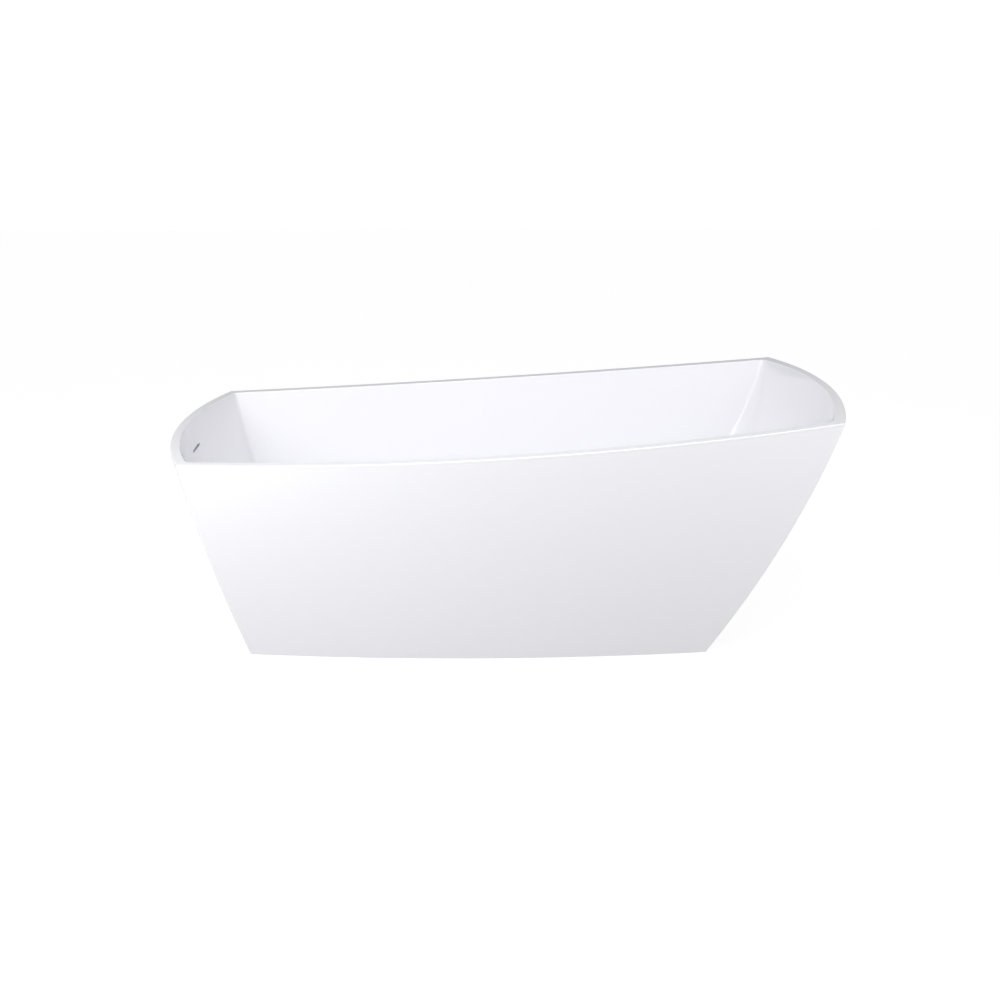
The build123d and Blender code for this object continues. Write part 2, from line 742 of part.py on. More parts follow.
outlet_nut_plane = Plane(origin=(drain_x, 0, tee_bottom - slip_washer - slip_nut_rim))
branch_nut_plane = Plane(
    origin=(branch_end_x - slip_washer - slip_nut_rim, 0, pipe_level), x_dir=(0, 0, 1), z_dir=(1, 0, 0)
)
finish(slip_nut(outlet_nut_plane, drain_thread_radius, tailpiece_neck), "outlet_slip_nut")
finish(slip_nut(branch_nut_plane, tee_branch_radius, overflow_pipe_radius), "branch_slip_nut")
finish(slip_ring(outlet_nut_plane, drain_thread_radius, tailpiece_neck), "outlet_slip_ring")
finish(slip_ring(branch_nut_plane, tee_branch_radius, overflow_pipe_radius), "branch_slip_ring")


# ================================================================ frame
def skirt_half(x, height):
    """Half width between the skirt's inner faces at a place along the tub."""
    foot_x, foot_half = skirt_foot(height)
    head_x, head_half = skirt_head(height)
    share = (x - foot_x) / (head_x - foot_x)
    bow = skirt_bows(height)[2]
    return between(foot_half, head_half, share) + 4 * bow * share * (1 - share) - skirt_wall


rail_y = floor_foot_half - rail_side_inset
rail_start = basin_foot(board_top)[0] + floor_round + rail_inset
rail_end = basin_head(board_top)[0] - floor_round - rail_inset
foot_bar_x = rail_start + foot_bar_inset
head_bar_x = rail_end - head_bar_inset
bar_xs = (foot_bar_x, (foot_bar_x + head_bar_x) / 2, head_bar_x)
bar_middle = (bar_top + bar_bottom) / 2
block_faces = [skirt_half(x, bar_middle) - block_thickness for x in bar_xs]
bar_halves = [face - bracket_thickness - bar_end_gap - cap_thickness for face in block_faces]
foot_places = [
    (bar_xs[0], -bar_halves[0] + foot_inset),
    (bar_xs[0], bar_halves[0] - foot_inset),
    (bar_xs[1], 0.0),
    (bar_xs[2], -bar_halves[2] + foot_inset),
    (bar_xs[2], bar_halves[2] - foot_inset),
]
board_screw_places = [
    (x + side * board_screw_offset, y)
    for x, side in ((bar_xs[0], 1), (bar_xs[1], -1), (bar_xs[1], 1), (bar_xs[2], -1))
    for y in (-rail_y, rail_y)
]
hole_radius = screw_radius + running_gap


def square_tube(plane, length):
    """Square steel tube along a plane's normal."""
    inside = tube_size - 2 * tube_wall
    with BuildPart() as tube:
        with BuildSketch(plane):
            RectangleRounded(tube_size, tube_size, tube_corner)
            RectangleRounded(inside, inside, tube_corner - tube_wall, mode=Mode.SUBTRACT)
        extrude(amount=length)
    return tube.part


def end_plug(plane):
    """Plastic end cap of a square tube, its plate outside and its plug along the plane's normal."""
    inside = tube_size - 2 * tube_wall - 2 * running_gap
    hollow = inside - 2 * tube_wall
    with BuildPart() as plug:
        with BuildSketch(plane):
            RectangleRounded(tube_size, tube_size, tube_corner)
        extrude(amount=-cap_thickness)
        with BuildSketch(plane):
            RectangleRounded(inside, inside, tube_corner - tube_wall)
            RectangleRounded(hollow, hollow, cap_plug_corner, mode=Mode.SUBTRACT)
        extrude(amount=cap_plug)
    return plug.part


def screw(plane, length):
    """Pan-head screw: head behind the plane, shank along its normal."""
    with BuildPart() as body:
        with BuildSketch(plane):
            Circle(screw_head_radius)
        extrude(amount=-screw_head)
        chamfer(body.faces().sort_by(Axis(plane.origin, plane.z_dir))[0].edges(), screw_head_chamfer)
        with BuildSketch(plane):
            Circle(screw_radius)
        extrude(amount=length)
    return body.part


def group(solids, name):
    """Identical pieces in one node."""
    with BuildPart() as pieces:
        for solid in solids:
            add(solid)
    finish(pieces.part, name)


with BuildPart() as base_board:
    with BuildSketch(Plane.XY.offset(rail_top)):
        add(basin_section(0.0, basin_wall, inset=board_inset).moved(Location((0, 0, -board_thickness))))
        with Locations((drain_x, 0)):
            Circle(board_hole_radius, mode=Mode.SUBTRACT)
    extrude(amount=board_thickness)
    with BuildSketch(Plane.XY.offset(rail_top)):
        with Locations(*board_screw_places):
            Circle(hole_radius)
    extrude(amount=screw_grip + running_gap, mode=Mode.SUBTRACT)
finish(base_board.part, "base_board")

rail_middle = bar_top + tube_size / 2
for side, name in ((-1, "rail_front"), (1, "rail_back")):
    rail_plane = Plane(origin=(rail_start, side * rail_y, rail_middle), z_dir=(1, 0, 0))
    with BuildPart() as rail:
        add(square_tube(rail_plane, rail_end - rail_start))
        with BuildSketch(Plane.XY.offset(bar_top)):
            with Locations(*board_screw_places):
                Circle(hole_radius)
        extrude(amount=tube_size, mode=Mode.SUBTRACT)
    finish(rail.part, name)

rail_plugs = []
for x, direction in ((rail_start, 1), (rail_end, -1)):
    for side in (-1, 1):
        rail_plugs.append(end_plug(Plane(origin=(x, side * rail_y, rail_middle), z_dir=(direction, 0, 0))))
group(rail_plugs, "rail_end_caps")

bar_plugs = []
for x, half in zip(bar_xs, bar_halves):
    for side in (-1, 1):
        end_plane = Plane(origin=(x, side * half, bar_middle), x_dir=(1, 0, 0), z_dir=(0, -side, 0))
        bar_plugs.append(end_plug(end_plane))
group(bar_plugs, "bar_end_caps")

board_screws = []
for x, y in board_screw_places:
    board_screws.append(screw(Plane(origin=(x, y, bar_top)), tube_size + screw_grip))
group(board_screws, "board_screws")

bracket_screw_ys = [face - bracket_leg + bracket_screw_edge for face in block_faces]

for x, half, screw_y, name in zip(bar_xs, bar_halves, bracket_screw_ys, ("foot", "middle", "head")):
    bar_plane = Plane(origin=(x, -half, bar_middle), x_dir=(1, 0, 0), z_dir=(0, 1, 0))
    with BuildPart() as bar:
        add(square_tube(bar_plane, 2 * half))
        with BuildSketch(Plane.XY.offset(bar_bottom)):
            with Locations(*foot_places):
                Circle(insert_radius + running_gap)
        extrude(amount=tube_size, mode=Mode.SUBTRACT)
        with BuildSketch(Plane.XY.offset(bar_bottom)):
            with Locations((x, -screw_y), (x, screw_y)):
                Circle(hole_radius)
        extrude(amount=tube_wall, mode=Mode.SUBTRACT)
    finish(bar.part, f"cross_bar_{name}")

# Timber blocks bonded inside the skirt and the angle brackets that tie them to the bars.
skirt_cleared = skirt_block(skirt_wall + seat_gap)
bracket_screws = []
block_number = 0
for x, face, screw_y in zip(bar_xs, block_faces, bracket_screw_ys):
    for side in (-1, 1):
        block_number += 1
        across = Plane(origin=(x, side * face, bar_middle), x_dir=(1, 0, 0), z_dir=(0, side, 0))
        screw_spots = [(-bracket_screw_pitch / 2, 0), (bracket_screw_pitch / 2, 0)]
        lift = bar_bottom - bracket_thickness + bracket_leg - bar_middle - bracket_screw_pitch / 2
        up = 1 if across.y_dir.Z > 0 else -1
        with BuildPart() as block:
            with BuildSketch(across):
                Rectangle(block_length, block_height)
            extrude(amount=2 * block_thickness)
            add(skirt_cleared, mode=Mode.INTERSECT)
            with BuildSketch(across):
                with Locations((0, up * lift)):
                    with Locations(*screw_spots):
                        Circle(hole_radius)
            extrude(amount=screw_grip + running_gap, mode=Mode.SUBTRACT)
        finish(block.part, f"skirt_block_{block_number}")
        with BuildPart() as bracket:
            with BuildSketch(Plane.YZ.offset(x - bracket_width / 2)):
                with BuildLine():
                    inner = side * (face - bracket_leg)
                    outer = side * face
                    knee = side * (face - bracket_thickness)
                    low = bar_bottom - bracket_thickness
                    Polyline(
                        (inner, low),
                        (outer, low),
                        (outer, low + bracket_leg),
                        (knee, low + bracket_leg),
                        (knee, bar_bottom),
                        (inner, bar_bottom),
                        close=True,
                    )
                make_face()
            extrude(amount=bracket_width)
            bend = bracket.edges().filter_by(Axis.X).sort_by_distance((x, outer, low))[0]
            fillet(bend, bracket_thickness)
            with BuildSketch(across):
                with Locations((0, up * lift)):
                    with Locations(*screw_spots):
                        Circle(hole_radius)
            extrude(amount=-bracket_thickness, mode=Mode.SUBTRACT)
            with BuildSketch(Plane.XY.offset(low)):
                with Locations((x, side * screw_y)):
                    Circle(hole_radius)
            extrude(amount=bracket_thickness, mode=Mode.SUBTRACT)
        finish(bracket.part, f"skirt_bracket_{block_number}")
        for spot, height in screw_spots:
            place = Plane(
                origin=(x + spot, side * (face - bracket_thickness), bar_middle + lift + height),
                z_dir=(0, side, 0),
            )
            bracket_screws.append(screw(place, bracket_thickness + screw_grip))
        under_bar = Plane(origin=(x, side * screw_y, low))
        bracket_screws.append(screw(under_bar, bracket_thickness + bar_screw_grip))
group(bracket_screws, "bracket_screws")

# ================================================================ levelling feet
insert_bottom = bar_bottom - insert_rim
nut_bottom = insert_bottom - nut_thickness
stud_bore = stud_radius + running_gap
with BuildPart() as foot_inserts:
    with BuildSketch(Plane.XY.offset(insert_bottom)):
        with Locations(*foot_places):
            Circle(insert_rim_radius)
            Circle(stud_bore, mode=Mode.SUBTRACT)
    extrude(amount=insert_rim)
    with BuildSketch(Plane.XY.offset(bar_bottom)):
        with Locations(*foot_places):
            Circle(insert_radius)
            Circle(stud_bore, mode=Mode.SUBTRACT)
    extrude(amount=tube_size)
finish(foot_inserts.part, "foot_inserts")
finish(nut_solid(nut_flats, stud_bore, nut_bottom, nut_thickness, foot_places), "foot_lock_nuts")

hex_bottom = pad_height + seat_gap
for number, (x, y) in enumerate(foot_places, 1):
    with BuildPart() as pad:
        with BuildSketch(Plane.XZ.offset(-y)):
            with BuildLine():
                Polyline(
                    (x, 0),
                    (x + pad_radius, 0),
                    (x + pad_radius, pad_edge),
                    (x + pad_top_radius, pad_height),
                    (x + socket_radius + running_gap, pad_height),
                    (x + socket_radius + running_gap, pad_height - socket_depth),
                    (x, pad_height - socket_depth),
                    close=True,
                )
            make_face()
        revolve(axis=Axis((x, y, 0), (0, 0, 1)))
        chamfer(pad.edges().filter_by(GeomType.CIRCLE).group_by(Axis.Z)[0], pad_chamfer)
    finish(pad.part, f"foot_pad_{number}")
    with BuildPart() as stud:
        with BuildSketch(Plane.XY.offset(pad_height - socket_depth + running_gap)):
            with Locations((x, y)):
                Circle(socket_radius)
        extrude(amount=socket_depth + seat_gap - running_gap)
        with BuildSketch(Plane.XY.offset(hex_bottom)):
            with Locations((x, y)):
                RegularPolygon(nut_flats / 2, 6, major_radius=False)
        extrude(amount=hex_height)
        with BuildSketch(Plane.XY.offset(hex_bottom + hex_height)):
            with Locations((x, y)):
                Circle(stud_radius)
        extrude(amount=bar_top + stud_above_bar - hex_bottom - hex_height)
        chamfer(stud.edges().filter_by(GeomType.CIRCLE).sort_by(Axis.Z)[-1], stud_pitch / 2)
    finish(stud.part, f"foot_stud_{number}")
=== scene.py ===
"""A double-walled acrylic slipper bathtub with its drain, overflow, frame and levelling feet.

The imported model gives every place. The two big shells are rebuilt as smooth skins from the tub's own
rules of form, and the fittings under them get rounded edges, threads, recesses and worn metal.
"""
import json
import logging
import math
from dataclasses import dataclass, field
from typing import Optional, Sequence

import bmesh
import bpy
import numpy as np
from bpy.types import ID, Material, Mesh, Node, NodeSocket, NodeTree, Object
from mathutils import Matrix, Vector


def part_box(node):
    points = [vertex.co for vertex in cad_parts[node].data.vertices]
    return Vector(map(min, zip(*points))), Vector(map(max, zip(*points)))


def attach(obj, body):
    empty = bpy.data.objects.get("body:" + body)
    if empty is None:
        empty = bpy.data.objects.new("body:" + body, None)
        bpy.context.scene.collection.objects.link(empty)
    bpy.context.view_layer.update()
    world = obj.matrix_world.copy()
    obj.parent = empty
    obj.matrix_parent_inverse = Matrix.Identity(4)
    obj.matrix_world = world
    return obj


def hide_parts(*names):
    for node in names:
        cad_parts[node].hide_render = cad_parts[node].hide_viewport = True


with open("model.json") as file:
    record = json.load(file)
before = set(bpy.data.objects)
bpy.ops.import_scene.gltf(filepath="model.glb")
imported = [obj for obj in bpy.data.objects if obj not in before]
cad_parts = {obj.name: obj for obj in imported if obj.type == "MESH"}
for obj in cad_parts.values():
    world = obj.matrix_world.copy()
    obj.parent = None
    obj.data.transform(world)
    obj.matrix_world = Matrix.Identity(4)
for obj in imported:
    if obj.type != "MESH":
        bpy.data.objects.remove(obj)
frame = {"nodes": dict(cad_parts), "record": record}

log = logging.getLogger("bathtub")
MM = 0.001
PER_METRE = 1000
# Degrees above which an edge stays crisp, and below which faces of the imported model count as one.
SHARP, FLAT = 32.0, 1.5
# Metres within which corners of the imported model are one.
JOINED = 1e-6
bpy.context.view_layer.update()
# Kinds of node that come up often.
NOISE, MATH, MAP_RANGE = "ShaderNodeTexNoise", "ShaderNodeMath", "ShaderNodeMapRange"
VECTOR_MATH, MAPPING = "ShaderNodeVectorMath", "ShaderNodeMapping"
Pair = tuple[float, float]
Triple = tuple[float, float, float]
# Spans of a pattern's values: where most of a noise lies, and all of them.
MIDDLE: Pair = (0.35, 0.65)
WHOLE: Pair = (0.0, 1.0)


# ------------------------------------------------------------------ finishes
def linear(hex_colour: str) -> tuple[float, float, float, float]:
    """Turn an sRGB hex colour into linear light.

    Args:
        hex_colour: six hex digits, such as "F4F4F6".

    Returns:
        Linear red, green and blue, and an alpha of 1.
    """
    channels = [int(hex_colour[i:i + 2], 16) / 255 for i in (0, 2, 4)]
    red, green, blue = (c / 12.92 if c <= 0.04045 else ((c + 0.055) / 1.055) ** 2.4 for c in channels)
    return red, green, blue, 1.0


def add_node(tree: NodeTree, kind: str, settings: Optional[dict] = None, **inputs) -> Node:
    """Add a node with its settings, socket values and links.

    Args:
        tree: the tree that gets the node.
        kind: the node's type name.
        settings: attributes of the node itself.
        **inputs: by socket name with _ for spaces, or "i" and an index: an output socket to link from,
            or a plain value.

    Returns:
        The new node.
    """
    node = tree.nodes.new(kind)
    for name, value in (settings or {}).items():
        setattr(node, name, value)
    for name, value in inputs.items():
        by_index = name[0] == "i" and name[1:].isdigit()
        socket = node.inputs[int(name[1:])] if by_index else node.inputs[name.replace("_", " ")]
        if isinstance(value, NodeSocket):
            tree.links.new(value, socket)
        else:
            socket.default_value = value
    return node


@dataclass(frozen=True)
class Finish:
    """One real material: its typical values, and the shader that they make."""

    name: str
    colour: str
    roughness: float
    metallic: float = 0.0
    ior: float = 1.5

    def material(self) -> Material:
        """Build the material once and hand back the same one afterwards."""
        known = bpy.data.materials.get(self.name)
        if known:
            return known
        made = bpy.data.materials.new(self.name)
        made.use_nodes = True
        tree = made.node_tree
        tree.nodes.clear()
        shader = add_node(
            tree, "ShaderNodeBsdfPrincipled",
            Base_Color=linear(self.colour), Roughness=self.roughness, Metallic=self.metallic,
        )
        if self.metallic == 0:
            shader.inputs["IOR"].default_value = self.ior
        add_node(tree, "ShaderNodeOutputMaterial", Surface=shader.outputs["BSDF"])
        self.texture(tree, shader, add_node(tree, "ShaderNodeTexCoord").outputs["Object"])
        return made

    def texture(self, tree: NodeTree, shader: Node, place: NodeSocket) -> None:
        """Add what the way of making leaves on the surface.

        Args:
            tree: the material's tree.
            shader: its Principled shader.
            place: coordinates in metres.
        """
        raise NotImplementedError

    def show(self, shader: Node, tone: Optional[NodeSocket] = None, second: str = "",
             gloss: Optional[NodeSocket] = None, span: Pair = MIDDLE, dull: Pair = (0.0, 0.0),
             relief: Optional[NodeSocket] = None, depth_mm: float = 0.0) -> None:
        """Let patterns show in the colour, the gloss and the surface.

        Args:
            shader: the material's Principled shader.
            tone: share of the second colour.
            second: that colour.
            gloss: pattern that moves the roughness.
            span: two values of that pattern.
            dull: what the roughness gains at those values.
            relief: pattern that lifts the surface.
            depth_mm: how far it lifts.
        """
        tree, made = shader.id_data, {}
        if tone:
            made["Base Color"] = add_node(
                tree, "ShaderNodeMix", {"data_type": "RGBA"}, i0=tone, i6=linear(self.colour),
                i7=linear(second),
            ).outputs[2]
        if gloss:
            made["Roughness"] = add_node(
                tree, MAP_RANGE, Value=gloss, From_Min=span[0], From_Max=span[1],
                To_Min=self.roughness + dull[0], To_Max=self.roughness + dull[1],
            ).outputs["Result"]
        if relief:
            made["Normal"] = add_node(
                tree, "ShaderNodeBump", Height=relief, Distance=depth_mm * MM
            ).outputs["Normal"]
        for socket, source in made.items():
            tree.links.new(source, shader.inputs[socket])


@dataclass(frozen=True)
class CastSheet(Finish):
    """Cast sheet, heated and drawn over a mould, which leaves slow waves under a high gloss."""

    wave_mm: float = 140.0
    wave_depth_mm: float = 0.03
    haze: float = 0.03

    def texture(self, tree: NodeTree, shader: Node, place: NodeSocket) -> None:
        """Slow waves in the reflections, and a breath of uneven polish."""
        wave = add_node(tree, NOISE, Vector=place, Scale=PER_METRE / self.wave_mm, Detail=1.0)
        polish = add_node(tree, NOISE, Vector=place, Scale=3 * PER_METRE / self.wave_mm, Detail=4.0)
        self.show(shader, gloss=polish.outputs["Fac"], dull=(0.0, self.haze),
                  relief=wave.outputs["Fac"], depth_mm=self.wave_depth_mm)


@dataclass(frozen=True)
class Laminate(Finish):
    """Chopped glass strands rolled into resin by hand."""

    strand: str = "F1EFE6"
    strand_mm: float = 14.0
    depth_mm: float = 0.5

    def texture(self, tree: NodeTree, shader: Node, place: NodeSocket) -> None:
        """Strands that cross in every direction, raised and a little shinier than the resin between."""
        mat = None
        for turn in (0.0, 0.9, 2.0):
            turned = add_node(
                tree, MAPPING, Vector=place, Rotation=(turn, turn / 2, turn), Scale=(1.0, 5.0, 5.0)
            ).outputs["Vector"]
            layer = add_node(
                tree, NOISE, Vector=turned, Scale=PER_METRE / self.strand_mm / 3, Detail=4.0
            ).outputs["Fac"]
            if mat:
                layer = add_node(tree, MATH, {"operation": "MAXIMUM"}, i0=mat, i1=layer).outputs[0]
            mat = layer
        share = add_node(tree, MAP_RANGE, Value=mat, From_Min=0.5, From_Max=0.68)
        self.show(shader, share.outputs["Result"], self.strand, mat, (0.4, 0.7), (0.15, -0.1),
                  mat, self.depth_mm)


@dataclass(frozen=True)
class Moulded(Finish):
    """Moulded plastic, rubber or paste with the fine grain of its tool."""

    grain_mm: float = 1.5
    depth_mm: float = 0.03
    spread: float = 0.06

    def texture(self, tree: NodeTree, shader: Node, place: NodeSocket) -> None:
        """Fine grain in the gloss and in the surface."""
        fine = add_node(tree, NOISE, Vector=place, Scale=PER_METRE / self.grain_mm, Detail=3.0)
        grain = fine.outputs["Fac"]
        self.show(shader, gloss=grain, dull=(-self.spread, self.spread), relief=grain, depth_mm=self.depth_mm)


@dataclass(frozen=True)
class Plated(Finish):
    """Metal with a thin plated layer, whose tone drifts a little over the piece."""

    second: str = "C8C9CB"
    drift_mm: float = 12.0
    depth_mm: float = 0.004
    spread: float = 0.03

    def texture(self, tree: NodeTree, shader: Node, place: NodeSocket) -> None:
        """Two close tones of the plating, and handling marks in its gloss."""
        drift, marks = (
            add_node(
                tree, NOISE, Vector=place, Scale=times * PER_METRE / self.drift_mm, Detail=detail
            ).outputs["Fac"]
            for times, detail in ((1, 3.0), (4, 5.0))
        )
        share = add_node(tree, MAP_RANGE, Value=drift, From_Min=MIDDLE[0], From_Max=MIDDLE[1])
        self.show(shader, share.outputs["Result"], self.second, marks, MIDDLE, (-self.spread, self.spread),
                  marks, self.depth_mm)


@dataclass(frozen=True)
class Spangled(Finish):
    """Steel dipped in molten zinc, which freezes in flat crystals."""

    second: str = "BEC3C6"
    crystal_mm: float = 9.0
    depth_mm: float = 0.03

    def texture(self, tree: NodeTree, shader: Node, place: NodeSocket) -> None:
        """Crystals that differ in tone and gloss, with faint ridges where they meet."""
        cells = add_node(tree, "ShaderNodeTexVoronoi", Vector=place, Scale=PER_METRE / self.crystal_mm)
        tone = add_node(tree, "ShaderNodeSeparateColor", Color=cells.outputs["Color"]).outputs["Red"]
        self.show(shader, tone, self.second, tone, WHOLE, (-0.1, 0.1),
                  cells.outputs["Distance"], self.depth_mm)


@dataclass(frozen=True)
class Veneers(Finish):
    """Peeled veneers glued crosswise: long grain on the faces, stripes along the edges."""

    second: str = "A47C4C"
    ply_mm: float = 1.5
    grain_mm: float = 5.0
    depth_mm: float = 0.1

    def texture(self, tree: NodeTree, shader: Node, place: NodeSocket) -> None:
        """Plies by height, and grain drawn out along the board."""
        height = add_node(tree, "ShaderNodeSeparateXYZ", Vector=place).outputs["Z"]
        count = add_node(tree, MATH, {"operation": "MULTIPLY"}, i0=height, i1=PER_METRE / self.ply_mm)
        ply = add_node(tree, MATH, {"operation": "PINGPONG"}, i0=count.outputs[0], i1=1.0)
        dark = add_node(tree, MAP_RANGE, Value=ply.outputs[0], To_Min=0.25, To_Max=1.0)
        drawn = add_node(tree, MAPPING, Vector=place, Scale=(1.0 / 16, 1.0, 1.0)).outputs["Vector"]
        grain = add_node(
            tree, NOISE, Vector=drawn, Scale=PER_METRE / self.grain_mm, Detail=6.0
        ).outputs["Fac"]
        share = add_node(tree, MATH, {"operation": "MULTIPLY"}, i0=dark.outputs["Result"], i1=grain)
        self.show(shader, share.outputs[0], self.second, relief=grain, depth_mm=self.depth_mm)


@dataclass(frozen=True)
class Sawn(Finish):
    """Sawn softwood with year rings along the piece."""

    second: str = "AE8350"
    ring_mm: float = 4.0
    depth_mm: float = 0.15

    def texture(self, tree: NodeTree, shader: Node, place: NodeSocket) -> None:
        """Year rings seen along the grain, and rough fibres."""
        rings = add_node(
            tree, "ShaderNodeTexWave", {"wave_type": "RINGS", "rings_direction": "X"}, Vector=place,
            Scale=PER_METRE / self.ring_mm / 20, Distortion=3.0, Detail=3.0, Detail_Scale=2.0,
        )
        drawn = add_node(tree, MAPPING, Vector=place, Scale=(1.0 / 20, 1.0, 1.0)).outputs["Vector"]
        fibre = add_node(tree, NOISE, Vector=drawn, Scale=PER_METRE / self.ring_mm, Detail=6.0).outputs["Fac"]
        share = add_node(tree, MATH, {"operation": "MULTIPLY"}, i0=rings.outputs["Fac"], i1=fibre)
        self.show(shader, share.outputs[0], self.second, relief=fibre, depth_mm=self.depth_mm)


@dataclass(frozen=True)
class LightTable(Finish):
    """Pale sheet that glows as if lit from behind; where its glow dips near the tub, that dip is painted
    shade.
    """

    near: float = 0.49
    far: float = 0.78
    centre: Triple = (-0.1, -0.9, 0.0)
    rise: Pair = (0.7, 1.8)

    def texture(self, tree: NodeTree, shader: Node, place: NodeSocket) -> None:
        """A glow that rises away from the centre, the low part being painted shade round the tub, and a trace
        of wiping in the sheet's gloss.
        """
        shader.inputs["Emission Color"].default_value = (1.0, 1.0, 1.0, 1.0)
        # Painted shade: the glow falls from far to near towards the centre in front of the tub, standing in
        # for the floor's shadow there.
        away = add_node(tree, VECTOR_MATH, {"operation": "DISTANCE"}, i0=place, i1=self.centre)
        glow = add_node(
            tree, MAP_RANGE, {"interpolation_type": "SMOOTHSTEP"}, Value=away.outputs["Value"],
            From_Min=self.rise[0], From_Max=self.rise[1], To_Min=self.near, To_Max=self.far,
        )
        tree.links.new(glow.outputs["Result"], shader.inputs["Emission Strength"])
        wiped = add_node(tree, NOISE, Vector=place, Scale=2.5, Detail=2.0)
        self.show(shader, gloss=wiped.outputs["Fac"], span=WHOLE, dull=(-0.05, 0.05))


# Cast acrylic drawn over a mould: a deep wet gloss, with slow waves that bend its reflections.
ACRYLIC = CastSheet("cast_acrylic_white", "F2F2F6", 0.06, ior=1.49)
# Hand-laid glass fibre and polyester behind the acrylic: milky resin with pale strands that catch light.
LAMINATE = Laminate("glass_fibre_laminate", "D9D5C6", 0.45, ior=1.55)
# Bonding paste squeezed out of a joint: chalky white, soft-edged, hardly any shine.
PASTE = Moulded("white_bonding_paste", "E4E2DC", 0.5, ior=1.52, grain_mm=6.0, depth_mm=0.15)
# Polished brass under bright chromium: a dark and light mirror with a cool tint.
CHROME = Plated("chromed_brass", "C9CCCF", 0.05, 1.0, second="D6D8DA", drift_mm=20.0, spread=0.02)
# Injection-moulded PVC pipe fittings: warm white with the satin of a sparked tool.
PVC = Moulded("moulded_pvc_white", "E6E6E2", 0.36, ior=1.53, grain_mm=2.5, depth_mm=0.02, spread=0.05)
# Injection-moulded ABS duct: light grey and a little duller than the pipe.
ABS = Moulded("moulded_abs_grey", "C9CAC8", 0.42, ior=1.54)
# Moulded polypropylene nut: waxy black that greys where light grazes it.
POLYPROPYLENE = Moulded("moulded_polypropylene_black", "1D1E20", 0.45, grain_mm=1.2)
# Natural nylon washers: bone-coloured, dense and slightly glossy.
NYLON = Moulded("moulded_nylon_natural", "DEDACB", 0.4, ior=1.53, grain_mm=2.0, depth_mm=0.01, spread=0.05)
# Moulded EPDM gaskets: flat black with a dusty bloom.
EPDM = Moulded("moulded_epdm_rubber", "161616", 0.75, ior=1.52, grain_mm=0.8, depth_mm=0.04, spread=0.08)
# Moulded rubber pads under the feet: flat black, coarser than the gaskets.
PAD_RUBBER = Moulded("moulded_pad_rubber", "1B1B1C", 0.8, ior=1.52, depth_mm=0.08, spread=0.08)
# Moulded polyethylene plugs: waxy black end caps.
POLYETHYLENE = Moulded("moulded_polyethylene_black", "161718", 0.5, ior=1.51, spread=0.05)
# Hot-dip galvanised steel tube and brackets: matt grey crystals that flash one by one.
GALVANISED = Spangled("galvanised_steel", "A3A8AC", 0.42, 0.9)
# Weld metal brushed with zinc paint: darker and duller than the tube beside it.
WELD = Plated(
    "zinc_painted_weld", "85898C", 0.5, 0.9, second="9A9EA1", drift_mm=3.0, depth_mm=0.05, spread=0.1
)
# Bright zinc plating on screws, nuts and studs: pale yellowish silver.
ZINC = Plated("zinc_plated_steel", "B9B7AE", 0.28, 1.0, drift_mm=6.0, depth_mm=0.006, spread=0.08)
# Birch plywood, peeled and glued: honey-coloured faces with striped edges.
PLYWOOD = Veneers("birch_plywood", "C9A876", 0.6, ior=1.5)
# Sawn spruce blocks: pale and fibrous, with darker year rings.
SOFTWOOD = Sawn("sawn_softwood", "D8B98A", 0.7, ior=1.5)
# White cloth of the studio floor, lit from behind: an even white without shadows.
FLOOR_WHITE = LightTable("lit_white_cloth", "7F7F7F", 0.9, near=0.85, far=0.85)
# Sheet under the floor that glows with no lamp behind it: a soft painted light from below, with painted shade
# near the tub.
PAINTED_GLOW_SHEET = LightTable("opal_acrylic_sheet", "7F7F7F", 0.9)

SLOT_FINISHES: dict[str, Finish] = {
    "basin_acrylic": ACRYLIC, "skirt_acrylic": ACRYLIC, "duct_plastic": ABS, "pipe_plastic": PVC,
    "gasket_rubber": EPDM, "nylon_washer": NYLON, "drain_brass": CHROME, "nut_plastic": POLYPROPYLENE,
    "stopper_chrome": CHROME, "base_plywood": PLYWOOD, "block_timber": SOFTWOOD, "frame_steel": GALVANISED,
    "bracket_steel": GALVANISED, "cap_plastic": POLYETHYLENE, "screw_steel": ZINC, "foot_steel": ZINC,
    "pad_rubber": PAD_RUBBER,
}
SLOTS: dict[str, str] = {part["node"]: part["material_slot"] for part in frame["record"]["subparts"]}
BODIES: dict[str, str] = {
    node: body for body, nodes in frame["record"]["behaviour"]["bodies"].items() for node in nodes
}


# ------------------------------------------------------------------ mesh helpers
def placed(name: str, data: ID) -> Object:
    """Put a mesh, a lamp or a camera in the scene as an object."""
    made = bpy.data.objects.new(name, data)
    bpy.context.scene.collection.objects.link(made)
    return made


def piece_from(name: str, mesh: Mesh, finishes: Sequence[Finish], sharp: float = SHARP) -> Object:
    """Put a mesh in the scene as a smooth piece at the origin.

    Args:
        name: the piece's name.
        mesh: its mesh, in metres, in the tub's own frame.
        finishes: one finish per material slot.
        sharp: angle in degrees above which an edge stays crisp.

    Returns:
        The new object.
    """
    made = placed(name, mesh)
    mesh.materials.clear()
    for finish in finishes:
        mesh.materials.append(finish.material())
    mesh.shade_smooth()
    mesh.set_sharp_from_angle(angle=math.radians(sharp))
    return made


def settled(source: Object, name: str, finishes: Sequence[Finish], sharp: float = SHARP) -> Object:
    """Turn an object with modifiers into a plain piece and drop the original.

    Args:
        source: the object whose modifiers are baked.
        name: the new piece's name.
        finishes: its finishes.
        sharp: angle of crisp edges, in degrees.

    Returns:
        The plain piece.
    """
    graph = bpy.context.evaluated_depsgraph_get()
    mesh = bpy.data.meshes.new_from_object(
        source.evaluated_get(graph), preserve_all_data_layers=True, depsgraph=graph
    )
    mesh.name = name
    bpy.data.objects.remove(source)
    return piece_from(name, mesh, finishes, sharp)


